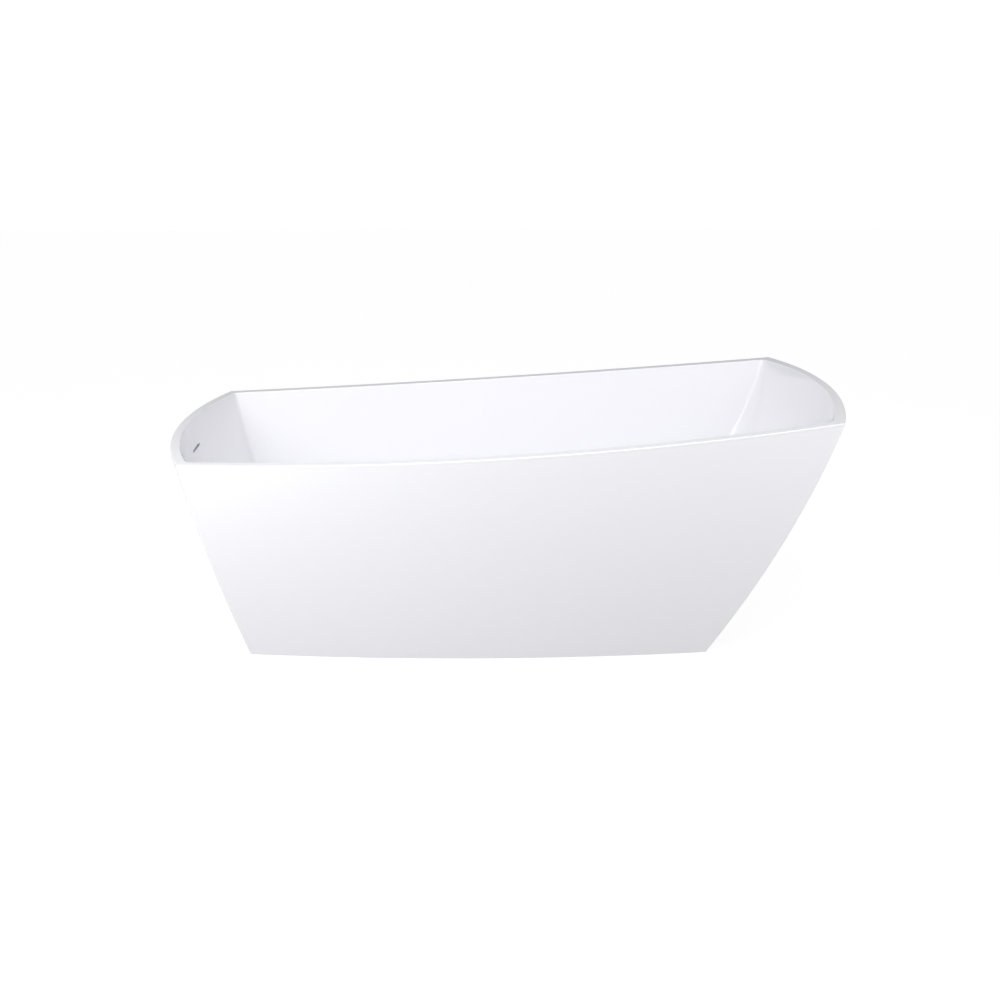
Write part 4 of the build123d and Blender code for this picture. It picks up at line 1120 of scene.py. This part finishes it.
@dataclass
class Shells:
    """The basin and the skirt round it."""

    form: TubForm = field(default_factory=TubForm)
    basin_wall: float = 5.0
    rim_thickness: float = 6.0
    rim_edge: float = 2.6
    rim_set: float = 0.5
    lip: float = 1.7
    skirt_wall: float = 4.0
    bond_gap: float = 0.3
    bead_set: float = 0.12
    bead_depth: float = 6.0
    skirt_flange: float = 4.0
    skirt_lip: float = 18.0
    skirt_lip_thickness: float = 4.0
    chamfer: float = 0.3
    flange_ease: float = 0.4
    edge_row: float = 0.5
    recess_radius: float = 35.5
    recess_depth: float = 3.0
    hole_radius: float = 24.5
    hole_land: float = 3.0
    slot: Triple = (80.0, 7.0, 66.0)
    slot_reach: Pair = (-850.0, -770.0)
    slot_step: int = 15
    round_steps: int = 14
    below_rim: float = 480.0

    def hole_row(self, like: np.ndarray, radius: float, height: float, slope: float = 0.0) -> np.ndarray:
        """Circle round the drain whose points face those of a row."""
        away = like[:, :2] - np.array([self.form.drain_x, 0.0])
        away /= np.linalg.norm(away, axis=1)[:, None]
        flat = np.array([self.form.drain_x, 0.0]) + away * radius
        return np.column_stack([flat, height + (flat[:, 0] - self.form.drain_x) * slope])

    @staticmethod
    def unit_out(row: np.ndarray) -> np.ndarray:
        """Level directions out of a row, square to it."""
        along = np.roll(row, -1, axis=0) - np.roll(row, 1, axis=0)
        out = np.column_stack([along[:, 1], -along[:, 0], np.zeros(len(row))])
        return out / np.linalg.norm(out, axis=1)[:, None]

    @staticmethod
    def skin(name: str, front: list[np.ndarray], back: list[np.ndarray]) -> Object:
        """One closed skin, acrylic in front and laminate behind."""
        kinds = [0] * len(front) + [1] * len(back)
        return piece_from(name, ring_mesh(name, front + back, kinds), (ACRYLIC, LAMINATE))

    def basin(self) -> Object:
        """One closed skin: floor, walls, rim flange, and the laminated back."""
        form = self.form
        underside = form.floor - form.floor_thickness
        angles = [math.radians(90 * i / self.round_steps) for i in range(self.round_steps + 1)]
        front = self.basin_floor(angles, underside)
        front += self.basin_sides()
        flange_low = front[-1]
        flange_in = form.on_rim(flange_low - self.unit_out(flange_low) * self.flange_ease, self.rim_thickness)
        back_stack = form.basin_stack(self.basin_wall)
        back_top = form.crossing(back_stack, self.rim_thickness)
        back = [flange_in]
        back += form.flat_between(flange_in, back_top, (0.05, 0.5, 0.94), self.rim_thickness)
        back += [back_top, *form.wall(back_stack, self.rim_thickness, [1 - s for s in EVEN[1:-1]])]
        back += [
            form.basin_row(form.floor_round * (1 - math.cos(a)), self.basin_wall) for a in reversed(angles)
        ]
        last = back[-1]
        ring = self.hole_row(last, self.hole_radius + self.hole_land, underside)
        back += [last * (1 - s) + ring * s for s in (0.03, 0.3, 0.6, 0.85, 1.0)]
        return self.cut_slot(self.skin("basin_shell", front, back))

    def basin_floor(self, angles: Sequence[float], underside: float) -> list[np.ndarray]:
        """Rows from the drain hole over the recess and the floor to the foot of the walls.

        Args:
            angles: turns of the round between the floor and the walls, in radians.
            underside: height of the floor's underside.

        Returns:
            The rows, from the hole outwards.
        """
        form, fall = self.form, self.form.floor_fall
        slope = math.tan(math.radians(fall))
        edge = form.basin_row(0.0, 0.0, fall)
        floor, hole, recess = form.floor, self.hole_radius, self.recess_radius
        bottom, chamfer = floor - self.recess_depth, self.chamfer
        rows = [self.hole_row(edge, radius, height, tilt) for radius, height, tilt in (
            (hole, underside, 0.0), (hole, bottom, 0.0), (recess - chamfer, bottom, 0.0),
            (recess, bottom + chamfer, slope), (recess, floor - 0.8, slope),
            (recess + 0.25, floor - 0.22, slope), (recess + 0.9, floor, slope),
            (recess + self.hole_land, floor, slope),
        )]
        start = rows[-1]
        rows += [start * (1 - s) + edge * s for s in (0.08, 0.2, 0.36, 0.54, 0.72, 0.88, 0.97)]
        return rows + [form.basin_row(form.floor_round * (1 - math.cos(a)), 0.0, fall) for a in angles]

    def basin_sides(self) -> list[np.ndarray]:
        """Rows up the walls, over the lip and the rim's flat, and down the rim's outer edge."""
        form = self.form
        inner = form.basin_stack(0.0, form.floor_fall)
        rows = form.wall(inner, self.lip, EVEN[1:-1] + [0.985, 0.993, 0.998])
        edge = form.crossing(inner)
        outward = form.on_rim(edge + self.unit_out(edge) * self.lip)
        rows += form.rounded(form.crossing(inner, self.lip), edge, outward, 5)
        outer = form.skirt_stack(self.rim_set, self.below_rim)
        rim_in = form.on_rim(form.crossing(form.skirt_stack(self.rim_set + self.rim_edge, self.below_rim)))
        rows += form.flat_between(outward, rim_in, (0.06, 0.16, 0.5, 0.84, 0.94), 0.0)
        rows += form.rounded(rim_in, form.crossing(outer), form.crossing(outer, self.rim_edge), 8)
        return rows + [
            form.crossing(outer, drop)
            for drop in (self.rim_edge + self.edge_row, self.rim_thickness - self.chamfer)
        ]

    def cut_slot(self, shell: Object) -> Object:
        """Cut the overflow slot through the foot wall.

        Args:
            shell: the basin before it is cut.

        Returns:
            The cut basin as a plain piece.
        """
        length, height, below = self.slot
        middle = float(self.form.rim(np.array(-self.form.foot_rim_x))) - below
        half, radius = (length - height) / 2, height / 2
        loop = []
        for side in (1, -1):
            for turn in range(-90, 91, self.slot_step):
                across, up = radius * math.cos(math.radians(turn)), radius * math.sin(math.radians(turn))
                loop.append((side * (half + across), middle + side * up))
        cutter = prism("slot_cutter", *([(x, y, z) for y, z in loop] for x in self.slot_reach))
        return cut_out(shell, cutter, "basin_skin", (ACRYLIC, LAMINATE))

    def skirt(self) -> Object:
        """One closed skin: outer face, floor lip, and the back under the flange."""
        form, chamfer = self.form, self.chamfer
        top = self.rim_thickness + self.bond_gap
        under = top + self.skirt_flange
        outer, inner = form.skirt_stack(), form.skirt_stack(self.skirt_wall)
        lip, thickness, halfway = self.skirt_lip, self.skirt_lip_thickness, self.skirt_lip / 2
        shares = [1.0, 0.9985, 0.995] + [1 - s for s in EVEN[1:-1]] + [0.006, 0.003]
        front = form.wall(outer, top, shares)
        front += [form.skirt_row(*row) for row in (
            (chamfer, 0.0), (0.0, chamfer), (0.0, halfway), (0.0, lip - chamfer), (chamfer, lip),
        )]
        back = [form.skirt_row(*row) for row in (
            (thickness - chamfer, lip), (thickness, lip - chamfer), (thickness, halfway),
        )]
        first = thickness / form.level_step
        last = form.meeting(inner, under)
        back += [form.at(inner, first + (last - first) * s) for s in EVEN]
        cleared = form.basin_stack(self.basin_wall + self.bond_gap)
        flange_high = form.crossing(cleared, top)
        back += form.flat_between(back[-1], form.crossing(cleared, under), (0.5, 1.0), under)
        back += [flange_high, *form.flat_between(flange_high, form.crossing(outer, top), (0.5, 0.97), top)]
        return self.skin("skirt_skin", front, back)

    def bond_line(self) -> Object:
        """Bead of bonding paste that fills the joint between the two flanges."""
        form = self.form
        outer, deep = (form.skirt_stack(inset, self.below_rim) for inset in (self.bead_set, self.bead_depth))
        high, low = self.rim_thickness, self.rim_thickness + self.bond_gap
        rows = [form.crossing(stack, drop) for stack, drop in (
            (outer, high), (outer, low), (deep, low), (deep, high),
        )]
        return piece_from("bond_line", ring_mesh("bond_line", rows, (0, 0, 0, 0)), (PASTE,))

    def build(self) -> None:
        """Build both skins and the bead between them."""
        basin, skirt, bead = self.basin(), self.skirt(), self.bond_line()
        stands_for(basin, "inner_basin")
        stands_for(skirt, "outer_skirt")
        goes_with(bead, "inner_basin")


# ------------------------------------------------------------------ drain and overflow
@dataclass
class Drain:
    """Pop-up waste in the floor, with the fittings that hang under it."""

    thread_radius: float = 23.5
    throat_radius: float = 19.0
    bevel: float = 5.0
    flange_thickness: float = 3.0
    groove: float = 0.8
    groove_play: float = 0.05
    seal_play: float = 0.3
    dome: float = 1.5
    cap_inset: float = 9.8
    cap_edge: float = 1.6

    def turned(self, node: str, making: str, profile: Sequence[Pair], steps: int = 96,
               sharp: float = 40.0) -> None:
        """Stand in for a node with a profile spun round the drain's axis.

        Args:
            node: the node's name.
            making: how the piece is made, which ends its name.
            profile: radius and height pairs, in millimetres.
            steps: facets round the axis.
            sharp: angle of crisp edges, in degrees.
        """
        shaped(node, making, lathe(f"{node}_{making}", profile, centre_of("drain_flange"), steps), sharp)

    def flange(self) -> None:
        """Flange with its conical seat, a groove for the cross and the threaded body below."""
        low, high = box_of("drain_flange")
        cross_low, cross_high = box_of("drain_cross")
        outer, top, under = (high[0] - low[0]) / 2, high[2], high[2] - self.flange_thickness
        groove_top, groove_bottom = cross_high[2] + self.groove_play, cross_low[2] - self.groove_play
        throat, thread, deep = self.throat_radius, self.thread_radius, self.throat_radius + self.groove
        profile = [
            (throat, low[2]), (thread, low[2]), (thread, under), (outer, under), (outer, top),
            (throat + self.bevel, top), (throat, top - self.bevel), (throat, groove_top), (deep, groove_top),
            (deep, groove_bottom), (throat, groove_bottom),
        ]
        radii = (0.5, 0.6, 0.3, 0.5, 1.4, 0.9, 0.9, 0.2, 0.1, 0.1, 0.2)
        self.turned("drain_flange", "turned", eased(profile, radii, 5))

    def cap(self, bottom: float) -> None:
        """Domed cap with its boss.

        Args:
            bottom: height of the cap's underside, above the seal.
        """
        low, high = box_of("stopper_cap")
        radius, top, boss = (high[0] - low[0]) / 2, high[2], (high[0] - low[0]) / 2 - self.cap_inset
        profile = eased(
            [(0.0, low[2]), (boss, low[2]), (boss, bottom), (radius, bottom),
             (radius, top - self.dome - 1.0)],
            (0.0, 0.5, 0.3, 0.6, 0.0),
        )
        edge, crown = self.cap_edge, radius - self.cap_edge
        level = top - self.dome * (crown / radius) ** 2 - edge
        for angle in np.radians(np.arange(10.0, 81.0, 10.0)):
            profile.append((crown + edge * math.cos(angle), level + edge * math.sin(angle)))
        profile += [(radius * s, top - self.dome * s * s) for s in (0.92, 0.8, 0.6, 0.4, 0.2, 0.0)]
        self.turned("stopper_cap", "turned", profile)

    def stopper(self) -> None:
        """Cap, the seal under it and the post that runs in the cross."""
        low, high = box_of("stopper_seal")
        tube = (high[2] - low[2]) / 2
        ring, level = (high[0] - low[0]) / 2 - tube, low[2] + tube
        self.cap(high[2] + self.seal_play)
        angles = np.arange(24) * 2 * math.pi / 24
        self.turned("stopper_seal", "moulded",
                    [(ring + tube * math.cos(a), level + tube * math.sin(a)) for a in angles], sharp=SHARP)
        low, high = box_of("stopper_post")
        thick, start, end = (high[0] - low[0]) / 2, low[2], high[2]
        neck = thick - self.groove
        profile = [(0.0, start), (thick, start), (thick, start + 5.0), (neck, start + 5.4),
                   (neck, start + 6.6), (thick, start + 7.0), (thick, end), (0.0, end)]
        self.turned("stopper_post", "turned", eased(profile, (0, 1.0, 0.1, 0.1, 0.1, 0.1, 0, 0)), 48)

    def build(self) -> None:
        """Build the turned pieces, and round the edges of the moulded ones."""
        self.flange()
        self.stopper()
        for node, edge in (
            ("drain_cross", 0.5), ("drain_gasket", 0.5), ("drain_slip_washer", 0.25), ("drain_lock_nut", 0.9),
            ("drain_tee", 0.8), ("drain_tailpiece", 0.3), ("outlet_slip_nut", 0.9), ("branch_slip_nut", 0.9),
            ("outlet_slip_ring", 0.3), ("branch_slip_ring", 0.3), ("overflow_duct", 0.6),
            ("overflow_gasket", 0.4), ("overflow_pipe", 0.4),
        ):
            softened(node, edge)


# ------------------------------------------------------------------ frame
@dataclass
class Fasteners:
    """Pan-head screws with a crosswise recess."""

    recess_half: float = 0.55
    recess_reach: float = 2.3
    recess_depth: float = 1.7
    recess_taper: float = 0.6
    head: float = 3.2
    shank_share: float = 0.505
    seed: int = 4

    def recess(self, head: float) -> Mesh:
        """Cutter of the driver's recess, narrower at its bottom."""
        half, reach = self.recess_half, self.recess_reach
        loop = [(half, reach), (-half, reach), (-half, half), (-reach, half), (-reach, -half), (-half, -half),
                (-half, -reach), (half, -reach), (half, -half), (reach, -half), (reach, half), (half, half)]
        narrow = self.recess_taper
        return prism("screw_recess", [(x, y, -head - 0.3) for x, y in loop],
                     [(x * narrow, y * narrow, self.recess_depth - head) for x, y in loop])

    def template(self, radius: float, head: float, shank: float, length: float) -> Object:
        """One screw at the origin, its shank up the axis and its head below.

        Args:
            radius: of the head.
            head: height of the head.
            shank: radius of the shank.
            length: of the shank.

        Returns:
            The screw, to be copied.
        """
        profile = [
            (0.0, -head), (radius * 0.62, -head + 0.12), (radius * 0.9, -head * 0.72), (radius, -head * 0.38),
            (radius, 0.0), (shank, 0.0), (shank, length - 2.0), (0.3, length), (0.0, length),
        ]
        radii = (0.0, 0.6, 0.5, 0.4, 0.2, 0.0, 0.3, 0.0, 0.0)
        blank = placed("screw_blank", lathe("screw_blank", eased(profile, radii, 3), (0.0, 0.0), 32))
        return cut_out(blank, self.recess(head), "screw_pattern", (ZINC,), 35.0)

    def seats(self, boxes: Sequence[tuple[np.ndarray, np.ndarray]]) -> Mesh:
        """Point under each screw's head, with the way that its shank goes.

        Args:
            boxes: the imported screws' boxes.

        Returns:
            A mesh of loose points with an axis each.
        """
        points, axes = [], []
        for low, high in boxes:
            size, middle, way = high - low, (low + high) / 2, np.zeros(3)
            along = int(size.argmax())
            way[along] = 1.0 if along == 2 else math.copysign(1.0, middle[1])
            points.append(middle - way * (size[along] / 2 - self.head))
            axes.append(way)
        mesh = mesh_of("screw_places", np.array(points), [])
        ways = mesh.attributes.new("axis", "FLOAT_VECTOR", "POINT")
        ways.data.foreach_set("vector", np.array(axes).ravel())
        return mesh

    def build(self) -> None:
        """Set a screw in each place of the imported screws, in groups of one length."""
        tool = scatter_tool()
        for node in ("board_screws", "bracket_screws"):
            groups: dict[int, list[tuple[np.ndarray, np.ndarray]]] = {}
            for low, high in islands(node):
                groups.setdefault(round(float((high - low).max())), []).append((low, high))
            for number, (_, boxes) in enumerate(sorted(groups.items())):
                size = np.sort(boxes[-1][1] - boxes[-1][0])
                radius = float(size[0]) / 2
                pattern = self.template(
                    radius, self.head, radius * self.shank_share, float(size[-1]) - self.head
                )
                made = tool.run(
                    f"{node}_{number + 1}", self.seats(boxes), ZINC, 35.0,
                    Template=pattern, Seed=self.seed + number,
                )
                bpy.data.objects.remove(pattern)
                (goes_with if number else stands_for)(made, node)


@dataclass
class Underframe:
    """Board under the floor, welded tube frame, timber blocks and brackets."""

    form: TubForm = field(default_factory=TubForm)
    weld: float = 2.1
    weld_ripple: float = 2.4
    weld_points: int = 6
    weld_inset: Triple = (3.0, 0.6, 0.5)
    paste: float = 3.2
    paste_ripple: float = 17.0
    paste_face: float = 5.2
    paste_points: tuple[int, int] = (12, 11)
    basin_wall: float = 5.0
    board_inset: float = 6.0
    blocks: int = 6
    bars: tuple[str, ...] = ("cross_bar_foot", "cross_bar_middle", "cross_bar_head")
    rails: tuple[str, ...] = ("rail_front", "rail_back")

    def welds(self, tool: NodeTool) -> None:
        """Fillet welds along both sides of each rail, where it lies on a bar."""
        paths, count = [], self.weld_points
        ends, inwards, lift = self.weld_inset
        for bar in self.bars:
            bar_low, bar_high = box_of(bar)
            xs = np.linspace(bar_low[0] + ends, bar_high[0] - ends, count)
            for rail in self.rails:
                low, high = box_of(rail)
                for side in (low[1] + inwards, high[1] - inwards):
                    paths.append(np.column_stack([xs, np.full(count, side), np.full(count, low[2] + lift)]))
        made = tool.run(
            "frame_welds", edges_of("weld_lines", paths, False), WELD, 60.0,
            Width=self.weld * MM, Ripple=self.weld_ripple * MM, Unevenness=0.16,
        )
        goes_with(made, self.bars[0])

    def skirt_face(self, x: np.ndarray, z: np.ndarray, side: float) -> np.ndarray:
        """Points just inside the skirt's inner face, where a bead of paste sits on it."""
        points = []
        for along, height in zip(x, z):
            row = self.form.skirt_row(float(height), self.paste_face)
            row = row[row[:, 1] * side > 0]
            row = row[row[:, 0].argsort()]
            points.append((along, float(np.interp(along, row[:, 0], row[:, 1])), height))
        return np.array(points)

    def pastes(self, tool: NodeTool) -> None:
        """Bonding paste squeezed out round each timber block and along the board."""
        paths = []
        across, up = self.paste_points
        for number in range(1, self.blocks + 1):
            low, high = box_of(f"skirt_block_{number}")
            side = math.copysign(1.0, low[1])
            run, rise = np.linspace(low[0], high[0], across), np.linspace(low[2], high[2], up)
            x = np.concatenate([run[:-1], np.full(up - 1, high[0]), run[:0:-1], np.full(up - 1, low[0])])
            z = np.concatenate(
                [np.full(across - 1, low[2]), rise[:-1], np.full(across - 1, high[2]), rise[:0:-1]]
            )
            paths.append(self.skirt_face(x, z, side))
        _, high = box_of("base_board")
        edge = self.form.basin_row(0.0, self.basin_wall, inset=self.board_inset)[::2]
        paths.append(np.column_stack([edge[:, :2], np.full(len(edge), high[2])]))
        made = tool.run(
            "bonding_paste", edges_of("paste_lines", paths, True), PASTE, 60.0,
            Width=self.paste * MM, Ripple=self.paste_ripple * MM, Unevenness=0.12,
        )
        goes_with(made, "skirt_block_1")

    def build(self) -> None:
        """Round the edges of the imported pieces, then lay welds and paste and set the screws."""
        edges = [(node, 0.5) for node in self.bars + self.rails]
        edges += [("base_board", 0.8), ("rail_end_caps", 0.7), ("bar_end_caps", 0.7)]
        for number in range(1, self.blocks + 1):
            edges += [(f"skirt_block_{number}", 1.2), (f"skirt_bracket_{number}", 0.4)]
        for node, edge in edges:
            softened(node, edge)
        tool = bead_tool()
        self.welds(tool)
        self.pastes(tool)
        Fasteners().build()


@dataclass
class Feet:
    """Five levelling feet: rubber pads, threaded studs, lock nuts and inserts.

    Lengths are in millimetres. The thread's depth and seat are counted in radii of its ridge.
    """

    count: int = 5
    hex_flats: float = 17.0
    hex_bottom: float = 12.3
    hex_top: float = 19.3
    hex_chamfer: Pair = (1.0, 0.6)
    thread_radius: float = 5.0
    pitch: float = 1.5
    ridge: float = 0.6
    depth: float = 1.3
    seat: float = 0.25
    thread_ease: float = 1.5
    socket_radius: float = 6.0
    socket_play: float = 0.05
    socket_depth: float = 8.0
    pad_edge: float = 5.0
    pad_top_radius: float = 12.0
    grip_rings: Triple = (5.0, 9.0, 13.0)
    groove: float = 0.9

    def stud(self, number: int, tool: NodeTool) -> None:
        """Stud with its ball end, hexagon and thread.

        Args:
            number: of the foot.
            tool: what makes the thread.
        """
        node = f"foot_stud_{number}"
        (_, _, foot), (_, _, end) = box_of(node)
        centre = centre_of(node)
        core, bottom, top = self.thread_radius - self.depth * self.ridge, self.hex_bottom, self.hex_top
        shaft = eased(
            [(0.0, foot), (self.socket_radius, foot), (self.socket_radius, bottom),
             (core, bottom), (core, end), (0.0, end)],
            (0.0, 1.2, 0.0, 0.0, 0.9, 0.0),
        )
        corner, chamfer = self.hex_flats / math.sqrt(3), self.hex_chamfer
        nut = [(0.0, bottom), (corner - chamfer[0], bottom), (corner, bottom + chamfer[1]),
               (corner, top - chamfer[1]), (corner - chamfer[0], top), (0.0, top)]
        joined = bmesh.new()
        joined.from_mesh(lathe("stud_shaft", shaft, centre, 48))
        joined.from_mesh(lathe("stud_hexagon", nut, centre, 6))
        mesh = bpy.data.meshes.new(node + "_turned")
        joined.to_mesh(mesh)
        joined.free()
        shaped(node, "turned", mesh, 35.0)
        start = top + self.thread_ease
        length = (end - self.thread_ease) - start
        ridge = tool.run(
            node + "_thread", bpy.data.meshes.new("thread_seed"), ZINC, 80.0,
            Centre=(centre[0] * MM, centre[1] * MM, start * MM), Radius=(core + self.seat * self.ridge) * MM,
            Ridge=self.ridge * MM, Turns=length / self.pitch, Height=length * MM,
        )
        goes_with(ridge, node)

    def pad(self, number: int) -> None:
        """Pad with a rounded shoulder, a socket for the ball and grip rings underneath."""
        node = f"foot_pad_{number}"
        low, high = box_of(node)
        radius, socket = (high[0] - low[0]) / 2, self.socket_radius + self.socket_play
        profile = [(0.0, 0.0)]
        for start in self.grip_rings:
            profile += [(start, 0.0), (start + 0.3, self.groove), (start + 1.7, self.groove),
                        (start + 2.0, 0.0)]
        profile += [
            (radius, 0.0), (radius, self.pad_edge), (self.pad_top_radius, high[2]), (socket, high[2]),
            (socket, high[2] - self.socket_depth), (0.0, high[2] - self.socket_depth),
        ]
        radii = [0.0] * (len(profile) - 6) + [1.0, 1.5, 1.2, 0.5, 0.4, 0.0]
        shaped(node, "moulded", lathe(node + "_moulded", eased(profile, radii), centre_of(node), 72))

    def build(self) -> None:
        """Build each foot, and round the nuts and inserts that hold them."""
        tool = thread_tool()
        for number in range(1, self.count + 1):
            self.stud(number, tool)
            self.pad(number)
        softened("foot_lock_nuts", 0.5)
        softened("foot_inserts", 0.3)


# ------------------------------------------------------------------ studio
@dataclass(frozen=True)
class Glow:
    """Soft light from one side of the room: where it is, and how bright."""

    way: Triple
    strength: float


@dataclass(frozen=True)
class Softbox:
    """A soft rectangular light: its place and the point that it faces in metres, its size and watts."""

    name: str
    place: Triple
    aim: Triple
    size: Pair
    power: float
    mirrored: bool = True


@dataclass
class Studio:
    """White floor, soft light and the camera."""

    eye: Triple = (-0.1167, -2.8774, 1.3898)
    yaw: float = 0.0097
    pitch: float = 0.3506
    lens: float = 40.81
    sensor: float = 36.0
    shift: float = 0.0314
    backdrop: float = 1.2
    floor_half: float = 9e3
    wall_edge: Pair = (0.5, 0.95)
    walls: tuple[Glow, ...] = (
        Glow((0.0, 0.0, 1.0), 1.11), Glow((-0.5, -0.85, 0.35), 0.34), Glow((0.0, 1.0, 0.4), 0.05),
    )
    lamps: tuple[Softbox, ...] = (
        Softbox("side_box", (-1.5, -1.8, 1.0), (-0.5, -0.3, 0.45), (1.0, 1.0), 7.4, False),
        Softbox("high_box", (-1.55, -1.4, 1.3), (-0.3, -0.2, 0.45), (0.9, 0.9), 8.9, False),
        Softbox("corner_box", (-1.1, -1.0, 1.7), (-0.4, -0.2, 0.45), (0.6, 0.6), 2.9, False),
        Softbox("front_strip", (-0.1, -1.1, 1.8), (0.0, 0.2, 0.45), (1.6, 0.4), 10.4),
        Softbox("fill_box", (1.8, -1.6, 1.4), (0.3, 0.0, 0.4), (1.0, 1.2), 10.9, False),
    )

    def floor(self) -> None:
        """A wide pale floor for the eye, and a sheet just under it whose painted glow throws light up at the
        tub.
        """
        for name, level, finish in (("studio_floor", 0.0, FLOOR_WHITE), ("bounce_sheet", -1.0, PAINTED_GLOW_SHEET)):
            corners = ((-1, -1), (1, -1), (1, 1), (-1, 1))
            points = np.array([(x * self.floor_half, y * self.floor_half, level) for x, y in corners])
            made = piece_from(name, mesh_of(name, points, [(0, 1, 2, 3)]), (finish,))
            made.visible_camera = finish is FLOOR_WHITE
            made.visible_diffuse = made.visible_glossy = made.visible_shadow = finish is PAINTED_GLOW_SHEET

    def softboxes(self) -> None:
        """Hang the soft rectangular lights, out of the camera's sight."""
        for box in self.lamps:
            lamp = bpy.data.lights.new(box.name, "AREA")
            lamp.shape = "RECTANGLE"
            lamp.size, lamp.size_y = box.size
            lamp.energy = box.power
            held = placed(box.name, lamp)
            held.location = box.place
            held.rotation_euler = (Vector(box.aim) - Vector(box.place)).to_track_quat("-Z", "Y").to_euler()
            held.visible_camera = False
            held.visible_glossy = box.mirrored

    def surroundings(self) -> None:
        """Dark room with a soft glow from a few sides, behind a white backdrop."""
        world = bpy.data.worlds.new("studio")
        world.use_nodes = True
        tree = world.node_tree
        tree.nodes.clear()
        way = add_node(tree, "ShaderNodeTexCoord").outputs["Generated"]
        total = 0.0
        for glow in self.walls:
            facing = add_node(
                tree, VECTOR_MATH, {"operation": "DOT_PRODUCT"}, i0=way, i1=Vector(glow.way).normalized()
            )
            wall = add_node(
                tree, MAP_RANGE, {"interpolation_type": "SMOOTHSTEP"}, Value=facing.outputs["Value"],
                From_Min=self.wall_edge[0], From_Max=self.wall_edge[1], To_Min=0.0, To_Max=glow.strength,
            )
            total = add_node(
                tree, MATH, {"operation": "ADD"}, i0=total, i1=wall.outputs["Result"]
            ).outputs[0]
        seen = add_node(tree, "ShaderNodeLightPath").outputs["Is Camera Ray"]
        level = add_node(tree, "ShaderNodeMix", {"data_type": "FLOAT"}, i0=seen, i2=total, i3=self.backdrop)
        sky = add_node(
            tree, "ShaderNodeBackground", Color=(1.0, 1.0, 1.0, 1.0), Strength=level.outputs[0]
        )
        add_node(tree, "ShaderNodeOutputWorld", Surface=sky.outputs["Background"])
        bpy.context.scene.world = world

    def camera(self) -> None:
        """The camera at its viewing angle."""
        data = bpy.data.cameras.new("camera")
        data.lens = self.lens
        data.sensor_width = self.sensor
        data.shift_x = self.shift
        held = placed("camera", data)
        held.location = self.eye
        held.rotation_euler = (math.pi / 2 - self.pitch, 0.0, -self.yaw)
        bpy.context.scene.camera = held
        bpy.context.scene.view_settings.view_transform = "Standard"

    def build(self) -> None:
        """Set up the studio."""
        self.floor()
        self.softboxes()
        self.surroundings()
        self.camera()


def main() -> None:
    """Build each sub-assembly in order, then the studio."""
    logging.basicConfig(level=logging.INFO, format="%(name)s: %(message)s")
    for part in (Shells(), Drain(), Underframe(), Feet(), Studio()):
        part.build()
        log.info("%s built", type(part).__name__)


if __name__ == "__main__":
    main()
